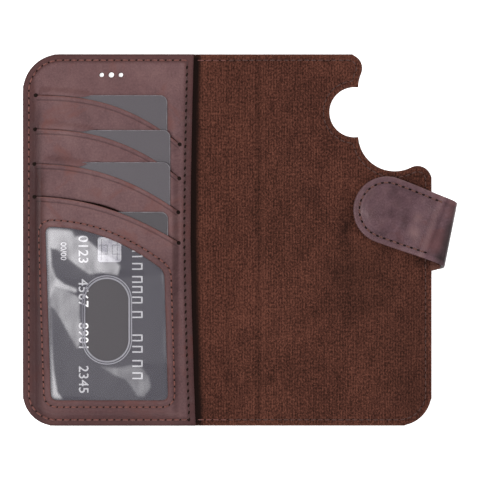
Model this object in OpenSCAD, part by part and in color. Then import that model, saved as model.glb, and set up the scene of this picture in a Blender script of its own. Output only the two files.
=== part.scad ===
// Book-style phone wallet case, lying open on a table with its inside face up.
// Front cover with card pockets on the left, spine in the middle, back cover
// with the camera cut-out and the magnetic strap on the right.
// Millimetres. X runs across the open case, Y up its height, Z up from the
// outer leather. The origin is under the middle of the open case.

/* [Covers] */
// Height of the case
case_h = 163; // [160:1:166]
// Front cover, from its free edge to the middle of its fold
front_w = 76.3; // [76.1:0.1:76.5]
// Back cover, from the middle of its fold to its free edge
back_w = 76; // [75.8:0.1:76]
// Spine, from the middle of one fold to the middle of the other
spine_w = 27; // [26.8:0.1:27.2]
// Corner radius at the top of the front cover
front_top_r = 16.5; // [12:0.5:17]
// Corner radius at the bottom of both covers
bottom_r = 14.4; // [10:0.2:15]
// Outer leather thickness
leather_t = 1.1; // [1:0.1:1.2]
// Stiffener board thickness
board_t = 1.0; // [0.9:0.1:1.1]
// Suede lining thickness
lining_t = 0.8; // [0.7:0.1:0.9]
// Distance of the seams from the edge
seam_in = 2.7; // [2.4:0.1:3]
// Width of a line of stitching
thread_w = 0.7; // [0.5:0.1:0.8]

/* [Camera cut-out] */
// Radius of the round bay
bay_r = 11; // [10.5:0.1:11.5]
// Radius of the long bay
slot_r = 16; // [15.6:0.1:16.2]
// Rounding where the long bay runs out at the side edge
side_lobe_r = 6.2; // [5.8:0.1:6.6]
// Rounding where the long bay runs out at the top edge
top_lobe_r = 6.1; // [5.8:0.1:6.4]

/* [Card pockets] */
// Pocket leather thickness
pocket_t = 0.7; // [0.6:0.05:0.7]
// Card thickness
card_t = 0.76; // [0.7:0.02:0.76]
// Pocket liner thickness
liner_t = 0.12; // [0.1:0.01:0.12]
// Window film thickness
film_t = 0.2; // [0.15:0.05:0.2]
// Card length
card_l = 85.6; // [85.4:0.1:85.7]
// Card width
card_w = 53.98; // [53.9:0.01:54.03]

/* [Strap] */
// Width of the strap
strap_w = 29.4; // [28:0.2:30]
// Thickness of the doubled strap
strap_t = 2.2; // [2:0.1:2.2]
// Clasp magnet radius
clasp_r = 7; // [6:0.5:7]

/* [Hidden] */
$fn = 48;

leather_c = [0.46, 0.35, 0.36];
suede_c = [0.33, 0.19, 0.16];
thread_c = [0.57, 0.32, 0.28];
card_c = [0.40, 0.38, 0.41];
board_c = [0.55, 0.50, 0.42];
steel_c = [0.72, 0.72, 0.74];
liner_c = [0.80, 0.78, 0.74];
film_c = [0.85, 0.85, 0.90, 0.4];

H = case_h / 2;
xf = -19;                 // middle of the front fold
xb = xf + spine_w;        // middle of the back fold
x0 = xf - front_w;        // free edge of the front cover
x1 = xb + back_w;         // free edge of the back cover
fold_g = 1.7;             // half width of the soft strip at a fold
z_in = leather_t + board_t + lining_t;   // inner face of the covers
z_l = leather_t;
z_b = leather_t + board_t;
panel_x1 = xf - 1.8;      // right edge of the pocket panel
gap = 0.04;               // slack between layers in a pocket
eps = 0.01;

// ---------- outlines ----------
function arc(c, r, a0, a1, n) = [for (i = [0:n]) let (a = a0 + (a1 - a0) * i / n) [c[0] + r * cos(a), c[1] + r * sin(a)]];
function rev(p) = [for (i = [len(p) - 1:-1:0]) p[i]];
function meet(c0, r0, c1, r1, s) =
  let (d = norm(c1 - c0), a = (r0 * r0 - r1 * r1 + d * d) / (2 * d), h = sqrt(r0 * r0 - a * a), e = (c1 - c0) / d)
  c0 + a * e + s * h * [-e[1], e[0]];
function ang(p, c) = let (a = atan2(p[1] - c[1], p[0] - c[0])) a < 0 ? a + 360 : a;

// free edge of the front cover, inset by d, from the fold at the top round to the fold at the bottom
function front_edge(d, xr) = concat(
  [[xr, H - d]],
  arc([x0 + front_top_r, H - front_top_r], front_top_r - d, 90, 180, 10),
  arc([x0 + bottom_r, -H + bottom_r], bottom_r - d, 180, 270, 10),
  [[xr, -H + d]]);

bay_c = [50.2, 56.1];
slot_lo = [67.8, 46.2];
slot_hi = [67.8, 66.7];
side_c = [x1 - side_lobe_r, slot_lo[1] - sqrt(pow(slot_r + side_lobe_r, 2) - pow(x1 - side_lobe_r - slot_lo[0], 2))];
top_c = [slot_hi[0] - sqrt(pow(slot_r + top_lobe_r, 2) - pow(H - top_lobe_r - slot_hi[1], 2)), H - top_lobe_r];

// free edge of the back cover, inset by d, from the fold at the bottom round to the fold at the top
function back_edge(d, xl) =
  let (lo = meet(bay_c, bay_r + d, slot_lo, slot_r + d, -1), hi = meet(bay_c, bay_r + d, slot_hi, slot_r + d, 1))
  concat(
    [[xl, -H + d]],
    arc([x1 - bottom_r, -H + bottom_r], bottom_r - d, -90, 0, 10),
    arc(side_c, side_lobe_r - d, 0, ang(slot_lo, side_c), 8),
    arc(slot_lo, slot_r + d, ang(side_c, slot_lo), ang(lo, slot_lo), 14),
    arc(bay_c, bay_r + d, ang(lo, bay_c), ang(hi, bay_c), 18),
    arc(slot_hi, slot_r + d, ang(hi, slot_hi), ang(top_c, slot_hi), 4),
    arc(top_c, top_lobe_r - d, ang(slot_hi, top_c) - 360, 90, 8),
    [[xl, H - d]]);

module plate(p, z0, t) translate([0, 0, z0]) linear_extrude(t) polygon(p);
module band(outer, inner, z0, t) plate(concat(outer, rev(inner)), z0, t);

// ---------- covers ----------
module speaker_holes() for (h = [[-60.7, 1.0], [-56.5, 1.2], [-52.3, 1.0]])
  translate([h[0], 72.4, -1]) cylinder(r = h[1], h = 8);

// a shallow groove in the outer face, where the thread lies
groove = 0.3;
module front_groove() band(front_edge(seam_in - thread_w / 2 - 0.05, xf), front_edge(seam_in + thread_w / 2 + 0.05, xf), -1, 1 + groove);
module back_groove() band(back_edge(seam_in - thread_w / 2 - 0.05, xb), back_edge(seam_in + thread_w / 2 + 0.05, xb), -1, 1 + groove);
module edge_grooves() for (s = [-1, 1]) translate([(xf + xb) / 2, s * (H - seam_in), -1 + (1 + groove) / 2])
  cube([spine_w + 10, thread_w + 0.1, 1 + groove], center = true);

module front_leather() color(leather_c) difference() {
  plate(front_edge(0, xf - fold_g), 0, leather_t);
  front_groove();
  speaker_holes();
}
module front_board() color(board_c) difference() {
  plate(front_edge(0.5, xf - fold_g - 0.5), z_l, board_t);
  speaker_holes();
  translate([clasp_x, strap_y, z_l - 1]) cylinder(r = clasp_r + 0.6, h = board_t + 2);
}
module clasp_plate() color(steel_c) translate([clasp_x, strap_y, z_l]) cylinder(r = clasp_r + 0.5, h = board_t);
module front_lining() color(suede_c) difference() {
  plate(front_edge(0, xf - fold_g), z_b, lining_t);
  speaker_holes();
}

module back_leather() color(leather_c) difference() {
  plate(back_edge(0, xb + fold_g), 0, leather_t);
  back_groove();
}
shell_spots = [for (x = [24, 56], y = [-56, -12, 28]) [x, y]];
module back_board() color(board_c) difference() {
  plate(back_edge(0.5, xb + fold_g + 0.5), z_l, board_t);
  for (p = shell_spots) translate([p[0], p[1], z_l - 1]) cylinder(r = 5.1, h = board_t + 2);
  translate([x1 - 12, strap_y - strap_w / 2 - 0.2, z_l - 1]) cube([14, strap_w + 0.4, board_t + 2]);
}
module shell_magnets() color(steel_c) for (p = shell_spots) translate([p[0], p[1], z_l]) cylinder(r = 5, h = board_t);
module back_lining() color(suede_c) plate(back_edge(0, xb + fold_g), z_b, lining_t);

module spine_plate(z0, t, ins) translate([xf + fold_g + ins, -H + ins, z0]) cube([spine_w - 2 * fold_g - 2 * ins, case_h - 2 * ins, t]);
module spine_leather() color(leather_c) difference() {
  spine_plate(0, leather_t, 0);
  edge_grooves();
}
module spine_board() color(board_c) spine_plate(z_l, board_t, 0.5);
module spine_lining() color(suede_c) spine_plate(z_b, lining_t, 0);

module fold_strip(x, z0, t) translate([x - fold_g, -H, z0]) cube([2 * fold_g, case_h, t]);
module front_fold_leather() color(leather_c) difference() { fold_strip(xf, 0, leather_t); edge_grooves(); }
module back_fold_leather() color(leather_c) difference() { fold_strip(xb, 0, leather_t); edge_grooves(); }
module front_fold_lining() color(suede_c) fold_strip(xf, z_b, lining_t);
module back_fold_lining() color(suede_c) fold_strip(xb, z_b, lining_t);

// ---------- threads ----------
module front_thread() color(thread_c) {
  band(front_edge(seam_in - thread_w / 2, xf - fold_g - 0.2), front_edge(seam_in + thread_w / 2, xf - fold_g - 0.2), 0.05, 0.22);
  difference() {
    plate(front_edge(seam_in - thread_w / 2, panel_x1 - seam_in + thread_w / 2), z_in + pocket_t, 0.2);
    plate(front_edge(seam_in + thread_w / 2, panel_x1 - seam_in - thread_w / 2), z_in, 3);
  }
}
module back_thread() color(thread_c) {
  band(back_edge(seam_in - thread_w / 2, xb + fold_g + 0.2), back_edge(seam_in + thread_w / 2, xb + fold_g + 0.2), 0.05, 0.22);
  band(back_edge(seam_in - thread_w / 2, xb + fold_g + 0.2), back_edge(seam_in + thread_w / 2, xb + fold_g + 0.2), z_in, 0.15);
}
module spine_thread() color(thread_c) for (s = [-1, 1], z = [[0.05, 0.22], [z_in, 0.15]])
  translate([xf + fold_g + 0.2, s * (H - seam_in) - thread_w / 2, z[0]]) cube([spine_w - 2 * fold_g - 0.4, thread_w, z[1]]);

// ---------- card pockets ----------
// Each slit starts level at its left end and falls to its right end.
slit_l = [[-89.6, 63.4], [-89.9, 48.5], [-90.2, 33.3], [-90.2, 18.9]];
slit_r = [[-26.5, 41.9], [-26.7, 27.0], [-27.1, 12.1], [-26.9, -1.3]];
slit_p = [2.5, 2.4, 2.2, 2.0];
slit_a = -90.2;
slit_b = -26.5;
function slit(k, x) = let (t = min(1, max(0, (x - slit_a) / (slit_b - slit_a))))
  slit_l[k][1] + (slit_r[k][1] - slit_l[k][1]) * pow(t, slit_p[k]);

// Underside of each card: height at a reference Y, and rise per mm of Y.
card_z0 = [3.68, 5.12, 6.40, 7.55];
card_y0 = [45, 30, 14.5, 1.0];
card_s = [0.0085, 0.0196, 0.0308, 0.0420];
card_top = [63.4, 48.1, 34.0, 12.3];
card_right = [-31.95, -30.6, -30.6, -31.5];
function card_z(k, y) = card_z0[k] + card_s[k] * (y - card_y0[k]);

function smooth(t) = let (u = min(1, max(0, t))) u * u * (3 - 2 * u);
bump_l = -86.6;
bump_r = -30.1;
function bump(x) = smooth((x - slit_a) / (bump_l - slit_a)) * smooth((slit_b - x) / (slit_b - bump_r));
// The pocket leather comes down to the lining just inside the bottom seam and its corner.
corner_c = [x0 + bottom_r, -H + bottom_r];
function edge_d(x, y) = (x < corner_c[0] && y < corner_c[1]) ? bottom_r - norm([x, y] - corner_c) : y + H;
function foot(x, y) = smooth((edge_d(x, y) - 3.5) / 3);
foot_rows = [-72, -73.7, -75, -75.75, -76.5, -77.25, -78, -H - 1];
// Underside of the pocket leather over card k, or flat above the first slit (k = -1).
function under(k, x, y) = k < 0 ? z_in :
  z_in + (card_z(k, y) + card_t + gap + (k == 3 ? film_t + gap : 0) - z_in) * (k == 3 ? min(bump(x), foot(x, y)) : bump(x));

// Closed sheet from rows of underside points, thickness t, leaving out the cells that hole() marks.
module sheet(rows, t, hi0 = 99, hi1 = -1, ci0 = 99, ci1 = -1) {
  nj = len(rows) - 1;
  ni = len(rows[0]) - 1;
  n = (ni + 1) * (nj + 1);
  low = [for (r = rows) for (p = r) p];
  high = [for (p = low) [p[0], p[1], p[2] + t]];
  function id(j, i) = j * (ni + 1) + i;
  function on(j, i) = j >= 0 && j < nj && i >= 0 && i < ni && !(j >= hi0 && j <= hi1 && i >= ci0 && i <= ci1);
  faces = [for (j = [0:nj - 1]) for (i = [0:ni - 1]) if (on(j, i))
    let (a = id(j, i), b = id(j, i + 1), c = id(j + 1, i + 1), d = id(j + 1, i))
    each concat(
      [[a + n, b + n, c + n], [a + n, c + n, d + n], [a, c, b], [a, d, c]],
      on(j - 1, i) ? [] : [[b, b + n, a + n], [b, a + n, a]],
      on(j + 1, i) ? [] : [[d, d + n, c + n], [d, c + n, c]],
      on(j, i - 1) ? [] : [[a, a + n, d + n], [a, d + n, d]],
      on(j, i + 1) ? [] : [[c, c + n, b + n], [c, b + n, b]])];
  polyhedron(points = concat(low, high), faces = faces, convexity = 6);
}

cols = [x0 - 1, slit_a, -89.3, -88.4, -87.5, bump_l, -77, -67, -58, -49, -40, bump_r, -29.2, -28.3, -27.4, slit_b, panel_x1];
function kerf(x) = (x > slit_a + 0.1 && x < slit_b - 0.1) ? 0.06 : 0;
function top_y(k, x) = k < 0 ? H + 1 : slit(k, x) - kerf(x);
function bot_y(k, x) = k == 3 ? -H - 1 : slit(k + 1, x) + kerf(x);
module pocket_band(k, n) sheet([for (j = [0:n]) [for (x = cols) let (y = top_y(k, x) + (bot_y(k, x) - top_y(k, x)) * j / n) [x, y, under(k, x, y)]]], pocket_t);

// Window opening
win_l = [-85.1, -82.9];
win_r = [-33.1, -31.5];
win_top = [5.8, -13.6];
win_bot = -70.2;
function win_y(x) = let (t = min(1, max(0, (x - win_l[0]) / (win_r[0] - win_l[0])))) win_top[0] + (win_top[1] - win_top[0]) * pow(t, 2.1);
function wcol(i, f) = let (l = win_l[0] + (win_l[1] - win_l[0]) * f, r = win_r[0] + (win_r[1] - win_r[0]) * f)
  i <= 5 ? cols[i] : i == 6 ? (bump_l + l) / 2 : i >= 16 ? [bump_r, -29.2, -28.3, -27.4, slit_b, panel_x1][i - 16] : l + (r - l) * (i - 7) / 8;
win_rows = 5;
function wrow(j) =
  j == 0 ? [for (i = [0:21]) let (x = wcol(i, 0), y = slit(3, x) - kerf(x)) [x, y]] :
  j <= 1 + win_rows ? [for (i = [0:21]) let (f = (j - 1) / win_rows, x = wcol(i, f), y = win_y(wcol(i, 0)) + (win_bot - win_y(wcol(i, 0))) * f) [x, y]] :
  [for (i = [0:21]) [wcol(i, 1), foot_rows[j - 2 - win_rows]]];
module window_band() sheet([for (j = [0:win_rows + 1 + len(foot_rows)]) [for (p = wrow(j)) [p[0], p[1], under(3, p[0], p[1])]]], pocket_t, 1, win_rows, 7, 14);

module pocket_panel() color(leather_c) difference() {
  intersection() {
    union() {
      pocket_band(-1, 1);
      for (k = [0:2]) pocket_band(k, 2);
      window_band();
    }
    plate(front_edge(0, panel_x1), 0, 20);
  }
  speaker_holes();
  for (k = [0:3]) {
    translate([slit_a, slit_l[k][1], 0]) cylinder(r = 0.9, h = 8);
    translate([slit_b, slit_r[k][1], 0]) cylinder(r = 0.9, h = 8);
  }
}

// A frame lying in the plane of card k: x as in the case, y from the card's reference line.
module in_plane(k) translate([0, card_y0[k], card_z0[k]]) rotate([atan(card_s[k]), 0, 0]) children();
function round_rect(xa, xb, ya, yb, r) = concat(
  arc([xb - r, yb - r], r, 0, 90, 6), arc([xa + r, yb - r], r, 90, 180, 6),
  arc([xa + r, ya + r], r, 180, 270, 6), arc([xb - r, ya + r], r, 270, 360, 6));
module a_card(k) color(card_c) in_plane(k) linear_extrude(card_t)
  polygon(round_rect(card_right[k] - card_w, card_right[k], card_top[k] - card_y0[k] - card_l, card_top[k] - card_y0[k], 3.18));
module card_1() a_card(0);
module card_2() a_card(1);
module card_3() a_card(2);
module id_card() a_card(3);

liner_top = [44, 29, 13.3, 0];
module liner(k) color(liner_c) in_plane(k)
  translate([bump_l + 0.1, card_top[k] - card_l - 0.5 - card_y0[k], -gap - liner_t])
    cube([bump_r - bump_l - 0.2, liner_top[k] - card_top[k] + card_l + 0.5, liner_t]);
module pocket_liner_1() liner(0);
module pocket_liner_2() liner(1);
module pocket_liner_3() liner(2);
module pocket_liner_4() liner(3);

thumb_x = -58.2;
thumb_y = [-26.4, -43.5];
thumb_r = 9.4;
module id_window() color(film_c) in_plane(3) translate([0, -card_y0[3], card_t + gap]) difference() {
  linear_extrude(film_t) polygon(concat(
    [for (x = [bump_l + 0.1, -80, -73, -66, -59, -52, -45, -38, bump_r - 0.1]) [x, win_y(x) + 3.6]],
    [[bump_r - 0.1, -73.2], [-84.0, -73.2], [bump_l + 0.1, -70.9]]));
  for (y = thumb_y) translate([thumb_x, y, -1]) cylinder(r = thumb_r, h = 3);
  translate([thumb_x - thumb_r, thumb_y[1], -1]) cube([2 * thumb_r, thumb_y[0] - thumb_y[1], 3]);
}

// Window seam: a flat thread laid on the pocket leather round the opening
seam_pts = concat(
  [for (i = [0:12]) let (x = -87.0 + i * 4.8, t = i / 12) [x + (i == 12 ? -0.6 : 0), win_y(x) + 2.9]],
  [for (i = [1:9]) let (t = i / 10) [-30.0 + 1.2 * t, win_y(-29.4) + 2.9 + (-73.0 - win_y(-29.4) - 2.9) * t]],
  [for (i = [0:9]) [-29.4 - i * 6.25, -73.2]],
  [for (i = [9:-1:1]) let (t = i / 10) [-87.0 + 1.4 * t, win_y(-87) + 2.9 + (-73.2 - win_y(-87) - 2.9) * t]]);
module window_thread() color(thread_c) {
  n = len(seam_pts);
  ring = [for (i = [0:n - 1]) let (
      p = seam_pts[i], q = seam_pts[(i + 1) % n], o = seam_pts[(i + n - 1) % n],
      e = (q - o) / norm(q - o), m = [-e[1], e[0]] * thread_w / 2,
      z = max([for (s = [-1, 1]) under(3, p[0] + s * m[0], p[1] + s * m[1])]) + pocket_t + 0.06)
    [[p[0] + m[0], p[1] + m[1], z], [p[0] - m[0], p[1] - m[1], z], [p[0] - m[0], p[1] - m[1], z + 0.2], [p[0] + m[0], p[1] + m[1], z + 0.2]]];
  polyhedron(points = [for (r = ring) for (p = r) p],
    faces = [for (i = [0:n - 1]) for (s = [0:3]) let (j = (i + 1) % n, a = 4 * i + s, b = 4 * i + (s + 1) % 4, c = 4 * j + (s + 1) % 4, d = 4 * j + s) each [[a, b, c], [a, c, d]]],
    convexity = 10);
}

// ---------- strap ----------
strap_y = 1.5;            // middle of the strap where it leaves the edge
half_t = strap_t / 2;
skew = 22.6;              // the folded-back tab leans up by this much
z_seam = 1.6;             // middle of the strap in the edge seam
z_tab = 4.9;              // middle of the folded-back strap
hinge_1 = x1 + 2;         // first bend, just outside the edge
hinge_2 = 91.2;           // second and third bends, one above the other
bend_l = z_tab - z_seam;
neck_l = 21.8;            // from the third bend to the fourth
tip_l = 29.14;            // from the third bend to the middle of the round end
magnet_l = neck_l + 11.1;
knuckle = half_t + 0.3;   // a link starts this far from its bend
clasp_x = xf - (hinge_1 - 11.1 - xb);

module along_u(z) translate([hinge_2, strap_y, z]) rotate([0, 0, -skew / 2]) children();
module along_d(z) translate([hinge_2, strap_y, z]) rotate([0, 0, -skew]) children();
module nose(l) rotate([90, 0, 0]) cylinder(r = half_t, h = l, center = true);
module slab(w, l) translate([0, 0, w]) children();

module strap_tongue() color(leather_c) {
  translate([x1 - 11.5, strap_y - strap_w / 2, z_l]) cube([11.5 + 0.5, strap_w, board_t]);
  translate([x1 + 0.3, strap_y - strap_w / 2, z_seam - half_t]) cube([hinge_1 - x1 - 0.3, strap_w, strap_t]);
  translate([hinge_1, strap_y, z_seam]) nose(strap_w);
}
function bend_x(y) = hinge_2 + (y - strap_y) * tan(skew / 2);
module strap_base_link() color(leather_c) {
  ya = strap_y - strap_w / 2;
  yb = strap_y + strap_w / 2;
  translate([0, 0, z_seam - half_t]) linear_extrude(strap_t)
    polygon([[hinge_1 + knuckle, ya], [bend_x(ya), ya], [bend_x(yb), yb], [hinge_1 + knuckle, yb]]);
  along_u(z_seam) nose(strap_w);
}
module strap_bend_link() color(leather_c) {
  along_u(z_seam) translate([-half_t, -strap_w / 2, knuckle]) cube([strap_t, strap_w, bend_l - knuckle]);
  along_u(z_tab) nose(strap_w);
}
module strap_neck_link() color(leather_c) {
  translate([0, 0, z_tab - half_t]) linear_extrude(strap_t) intersection() {
    translate([hinge_2, strap_y]) rotate(-skew) translate([-neck_l, -strap_w / 2]) square([neck_l + 10, strap_w]);
    translate([hinge_2, strap_y]) rotate(-skew / 2) translate([-60, -40]) square([60 - knuckle, 80]);
  }
  along_d(z_tab) translate([-neck_l, 0, 0]) nose(strap_w);
}
module neck_thread() color(thread_c) for (s = [-1, 1])
  along_d(z_tab + half_t) translate([-neck_l + 0.8, s * (strap_w / 2 - seam_in) - thread_w / 2, 0]) cube([neck_l - 6, thread_w, 0.2]);

module tab_plan(ins) intersection() {
  hull() {
    translate([-tip_l, 0]) circle(r = strap_w / 2 - ins);
    translate([-tip_l, -strap_w / 2 + ins]) square([tip_l - neck_l - knuckle, strap_w - 2 * ins]);
  }
  translate([-100, -50]) square([100 - neck_l - knuckle, 100]);
}
module tab_leather() color(leather_c) along_d(z_tab) difference() {
  union() {
    linear_extrude(half_t) tab_plan(0);
    translate([-magnet_l, 0, half_t - eps]) cylinder(r1 = clasp_r + 0.8, r2 = clasp_r, h = 0.55);
  }
  translate([-magnet_l, 0, -1]) cylinder(r = clasp_r + 0.1, h = 1.75);
}
module tab_facing() color(leather_c) along_d(z_tab) difference() {
  union() {
    translate([0, 0, -half_t]) linear_extrude(half_t) tab_plan(0);
    translate([-magnet_l, 0, -half_t - 0.55 + eps]) cylinder(r1 = clasp_r, r2 = clasp_r + 0.8, h = 0.55);
  }
  translate([-magnet_l, 0, -0.75]) cylinder(r = clasp_r + 0.1, h = 1.75);
}
module tab_magnet() color(steel_c) along_d(z_tab) translate([-magnet_l, 0, -0.7]) cylinder(r = clasp_r, h = 1.4);
module tab_thread() color(thread_c) along_d(z_tab + half_t) translate([0, 0, 0]) difference() {
  linear_extrude(0.2) tab_plan(seam_in - thread_w / 2);
  translate([0, 0, -1]) linear_extrude(3) tab_plan(seam_in + thread_w / 2);
  translate([-neck_l - knuckle - 0.6, -30, -1]) cube([5, 60, 3]);
}

back_leather();
back_board();
shell_magnets();
back_lining();
back_thread();
strap_tongue();
spine_leather();
spine_board();
spine_lining();
spine_thread();
front_fold_leather();
front_fold_lining();
back_fold_leather();
back_fold_lining();
front_leather();
front_board();
clasp_plate();
front_lining();
pocket_liner_1();
pocket_liner_2();
pocket_liner_3();
pocket_liner_4();
id_window();
pocket_panel();
window_thread();
front_thread();
card_1();
card_2();
card_3();
id_card();
strap_base_link();
strap_bend_link();
strap_neck_link();
neck_thread();
tab_leather();
tab_facing();
tab_magnet();
tab_thread();
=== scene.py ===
# Phone wallet case lying open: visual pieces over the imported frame. Lengths in the tables are millimetres.
import bpy, math
import numpy as np
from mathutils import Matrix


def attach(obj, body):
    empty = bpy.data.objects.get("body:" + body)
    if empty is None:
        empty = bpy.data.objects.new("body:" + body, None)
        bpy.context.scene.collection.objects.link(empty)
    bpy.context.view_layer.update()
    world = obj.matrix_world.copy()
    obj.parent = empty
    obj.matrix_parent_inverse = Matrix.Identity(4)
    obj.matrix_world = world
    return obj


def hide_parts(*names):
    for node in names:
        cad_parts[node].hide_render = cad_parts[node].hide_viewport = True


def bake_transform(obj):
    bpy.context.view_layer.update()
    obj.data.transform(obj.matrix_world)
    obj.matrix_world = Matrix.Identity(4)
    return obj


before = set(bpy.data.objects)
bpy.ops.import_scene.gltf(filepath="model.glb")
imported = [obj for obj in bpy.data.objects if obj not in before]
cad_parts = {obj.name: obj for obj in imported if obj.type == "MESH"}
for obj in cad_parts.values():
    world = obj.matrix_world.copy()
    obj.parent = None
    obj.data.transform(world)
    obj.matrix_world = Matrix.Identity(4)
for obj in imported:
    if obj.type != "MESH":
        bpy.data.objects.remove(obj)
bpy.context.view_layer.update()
scene = bpy.context.scene
MM = 0.001

# ------------------------------------------------------------------ camera, lights, floor
cam = bpy.data.cameras.new("camera")
cam_ob = bpy.data.objects.new("camera", cam)
scene.collection.objects.link(cam_ob)
cam.type = "PERSP"
cam.lens = 200
cam.sensor_width = 36
cam_ob.location = (-0.00007, 0, 0.2105 * 200 / 36 + 0.003)
cam.clip_end = 20
scene.camera = cam_ob
scene.view_settings.view_transform = "Standard"
scene.view_settings.look = "None"

world = bpy.data.worlds.new("world")
scene.world = world
world.use_nodes = True
world.node_tree.nodes["Background"].inputs[0].default_value = (1.0, 0.99, 0.985, 1)
world.node_tree.nodes["Background"].inputs[1].default_value = 0.62


def area(name, loc, target, size, power, color=(1, 1, 1), size_y=None):
    li = bpy.data.lights.new(name, "AREA")
    li.energy = power
    li.color = color
    li.shape = "RECTANGLE"
    li.size = size
    li.size_y = size_y or size
    ob = bpy.data.objects.new(name, li)
    scene.collection.objects.link(ob)
    d = np.array(target, float) - np.array(loc, float)
    from mathutils import Vector
    ob.location = loc
    ob.rotation_euler = Vector(d).to_track_quat("-Z", "Y").to_euler()
    return ob


area("key", (-0.385, -0.12, 1.0), (-0.385, -0.12, 0), 0.43, 6.6, (1, 0.99, 1.0), 0.46)
area("fill", (0.75, -0.1, 0.8), (0, 0, 0), 0.7, 2.6, (0.98, 0.99, 1))
area("top", (0.05, 0.62, 0.9), (0, 0, 0), 0.9, 2.2, (1, 1, 1), 0.25)

# ------------------------------------------------------------------ node helpers
class Mat:
    def __init__(self, name):
        self.m = bpy.data.materials.new(name)
        self.m.use_nodes = True
        self.t = self.m.node_tree
        self.b = self.t.nodes["Principled BSDF"]

    def n(self, kind, **kw):
        nd = self.t.nodes.new(kind)
        for k, v in kw.items():
            if k.startswith("_"):
                setattr(nd, k[1:], v)
            else:
                nd.inputs[k.replace("_", " ") if k.replace("_", " ") in nd.inputs else k].default_value = v
        return nd

    def l(self, a, b):
        self.t.links.new(a, b)

    def coord(self, uv=True, sx=1.0, sy=1.0, rot=0.0):
        tc = self.n("ShaderNodeTexCoord")
        mp = self.n("ShaderNodeMapping")
        mp.inputs["Scale"].default_value = (sx, sy, 1)
        mp.inputs["Rotation"].default_value = (0, 0, rot)
        self.l(tc.outputs["UV" if uv else "Object"], mp.inputs["Vector"])
        return mp.outputs["Vector"]

    def noise(self, vec, scale, detail=4.0, rough=0.55, dist=0.0):
        nd = self.n("ShaderNodeTexNoise", Scale=scale, Detail=detail, Roughness=rough, Distortion=dist)
        self.l(vec, nd.inputs["Vector"])
        return nd.outputs["Fac"]

    def voro(self, vec, scale, feature="F1", rand=1.0):
        nd = self.n("ShaderNodeTexVoronoi", _feature=feature, Scale=scale, Randomness=rand)
        self.l(vec, nd.inputs["Vector"])
        return nd.outputs["Distance"]

    def ramp(self, fac, stops, interp="LINEAR"):
        nd = self.n("ShaderNodeValToRGB")
        cr = nd.color_ramp
        cr.interpolation = interp
        while len(cr.elements) < len(stops):
            cr.elements.new(0.5)
        for e, (p, c) in zip(cr.elements, stops):
            e.position = p
            e.color = (c, c, c, 1) if not hasattr(c, "__len__") else (*c, 1)
        self.l(fac, nd.inputs["Fac"])
        return nd.outputs["Color"]

    def math(self, op, a, b=None, clamp=False):
        nd = self.n("ShaderNodeMath", _operation=op, _use_clamp=clamp)
        for i, x in enumerate([a, b]):
            if x is None:
                continue
            if isinstance(x, (int, float)):
                nd.inputs[i].default_value = x
            else:
                self.l(x, nd.inputs[i])
        return nd.outputs[0]

    def mix(self, fac, a, b, blend="MIX"):
        nd = self.n("ShaderNodeMix", _data_type="RGBA", _blend_type=blend)
        for sock, x in ((nd.inputs[0], fac), (nd.inputs[6], a), (nd.inputs[7], b)):
            if isinstance(x, (int, float)):
                sock.default_value = x
            elif hasattr(x, "is_linked") or hasattr(x, "links"):
                self.l(x, sock)
            else:
                sock.default_value = (*x, 1)
        return nd.outputs[2]

    def attr(self, name):
        nd = self.n("ShaderNodeAttribute", _attribute_name=name)
        return nd.outputs["Fac"]

    def bump(self, height, strength, dist, prev=None):
        nd = self.n("ShaderNodeBump", Strength=strength, Distance=dist)
        self.l(height, nd.inputs["Height"])
        if prev is not None:
            self.l(prev, nd.inputs["Normal"])
        return nd.outputs["Normal"]

    def out(self, color=None, rough=None, normal=None, **const):
        if color is not None:
            self.l(color, self.b.inputs["Base Color"])
        if rough is not None:
            self.l(rough, self.b.inputs["Roughness"])
        if normal is not None:
            self.l(normal, self.b.inputs["Normal"])
        for k, v in const.items():
            k = k.replace("_", " ")
            s = self.b.inputs[k]
            s.default_value = (*v, 1) if hasattr(v, "__len__") else v
        return self.m


def srgb(r, g, b, k=1.0):
    f = lambda c: (c / 255 / 12.92 if c / 255 <= 0.04045 else ((c / 255 + 0.055) / 1.055) ** 2.4) * k
    return (f(r), f(g), f(b))


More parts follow.
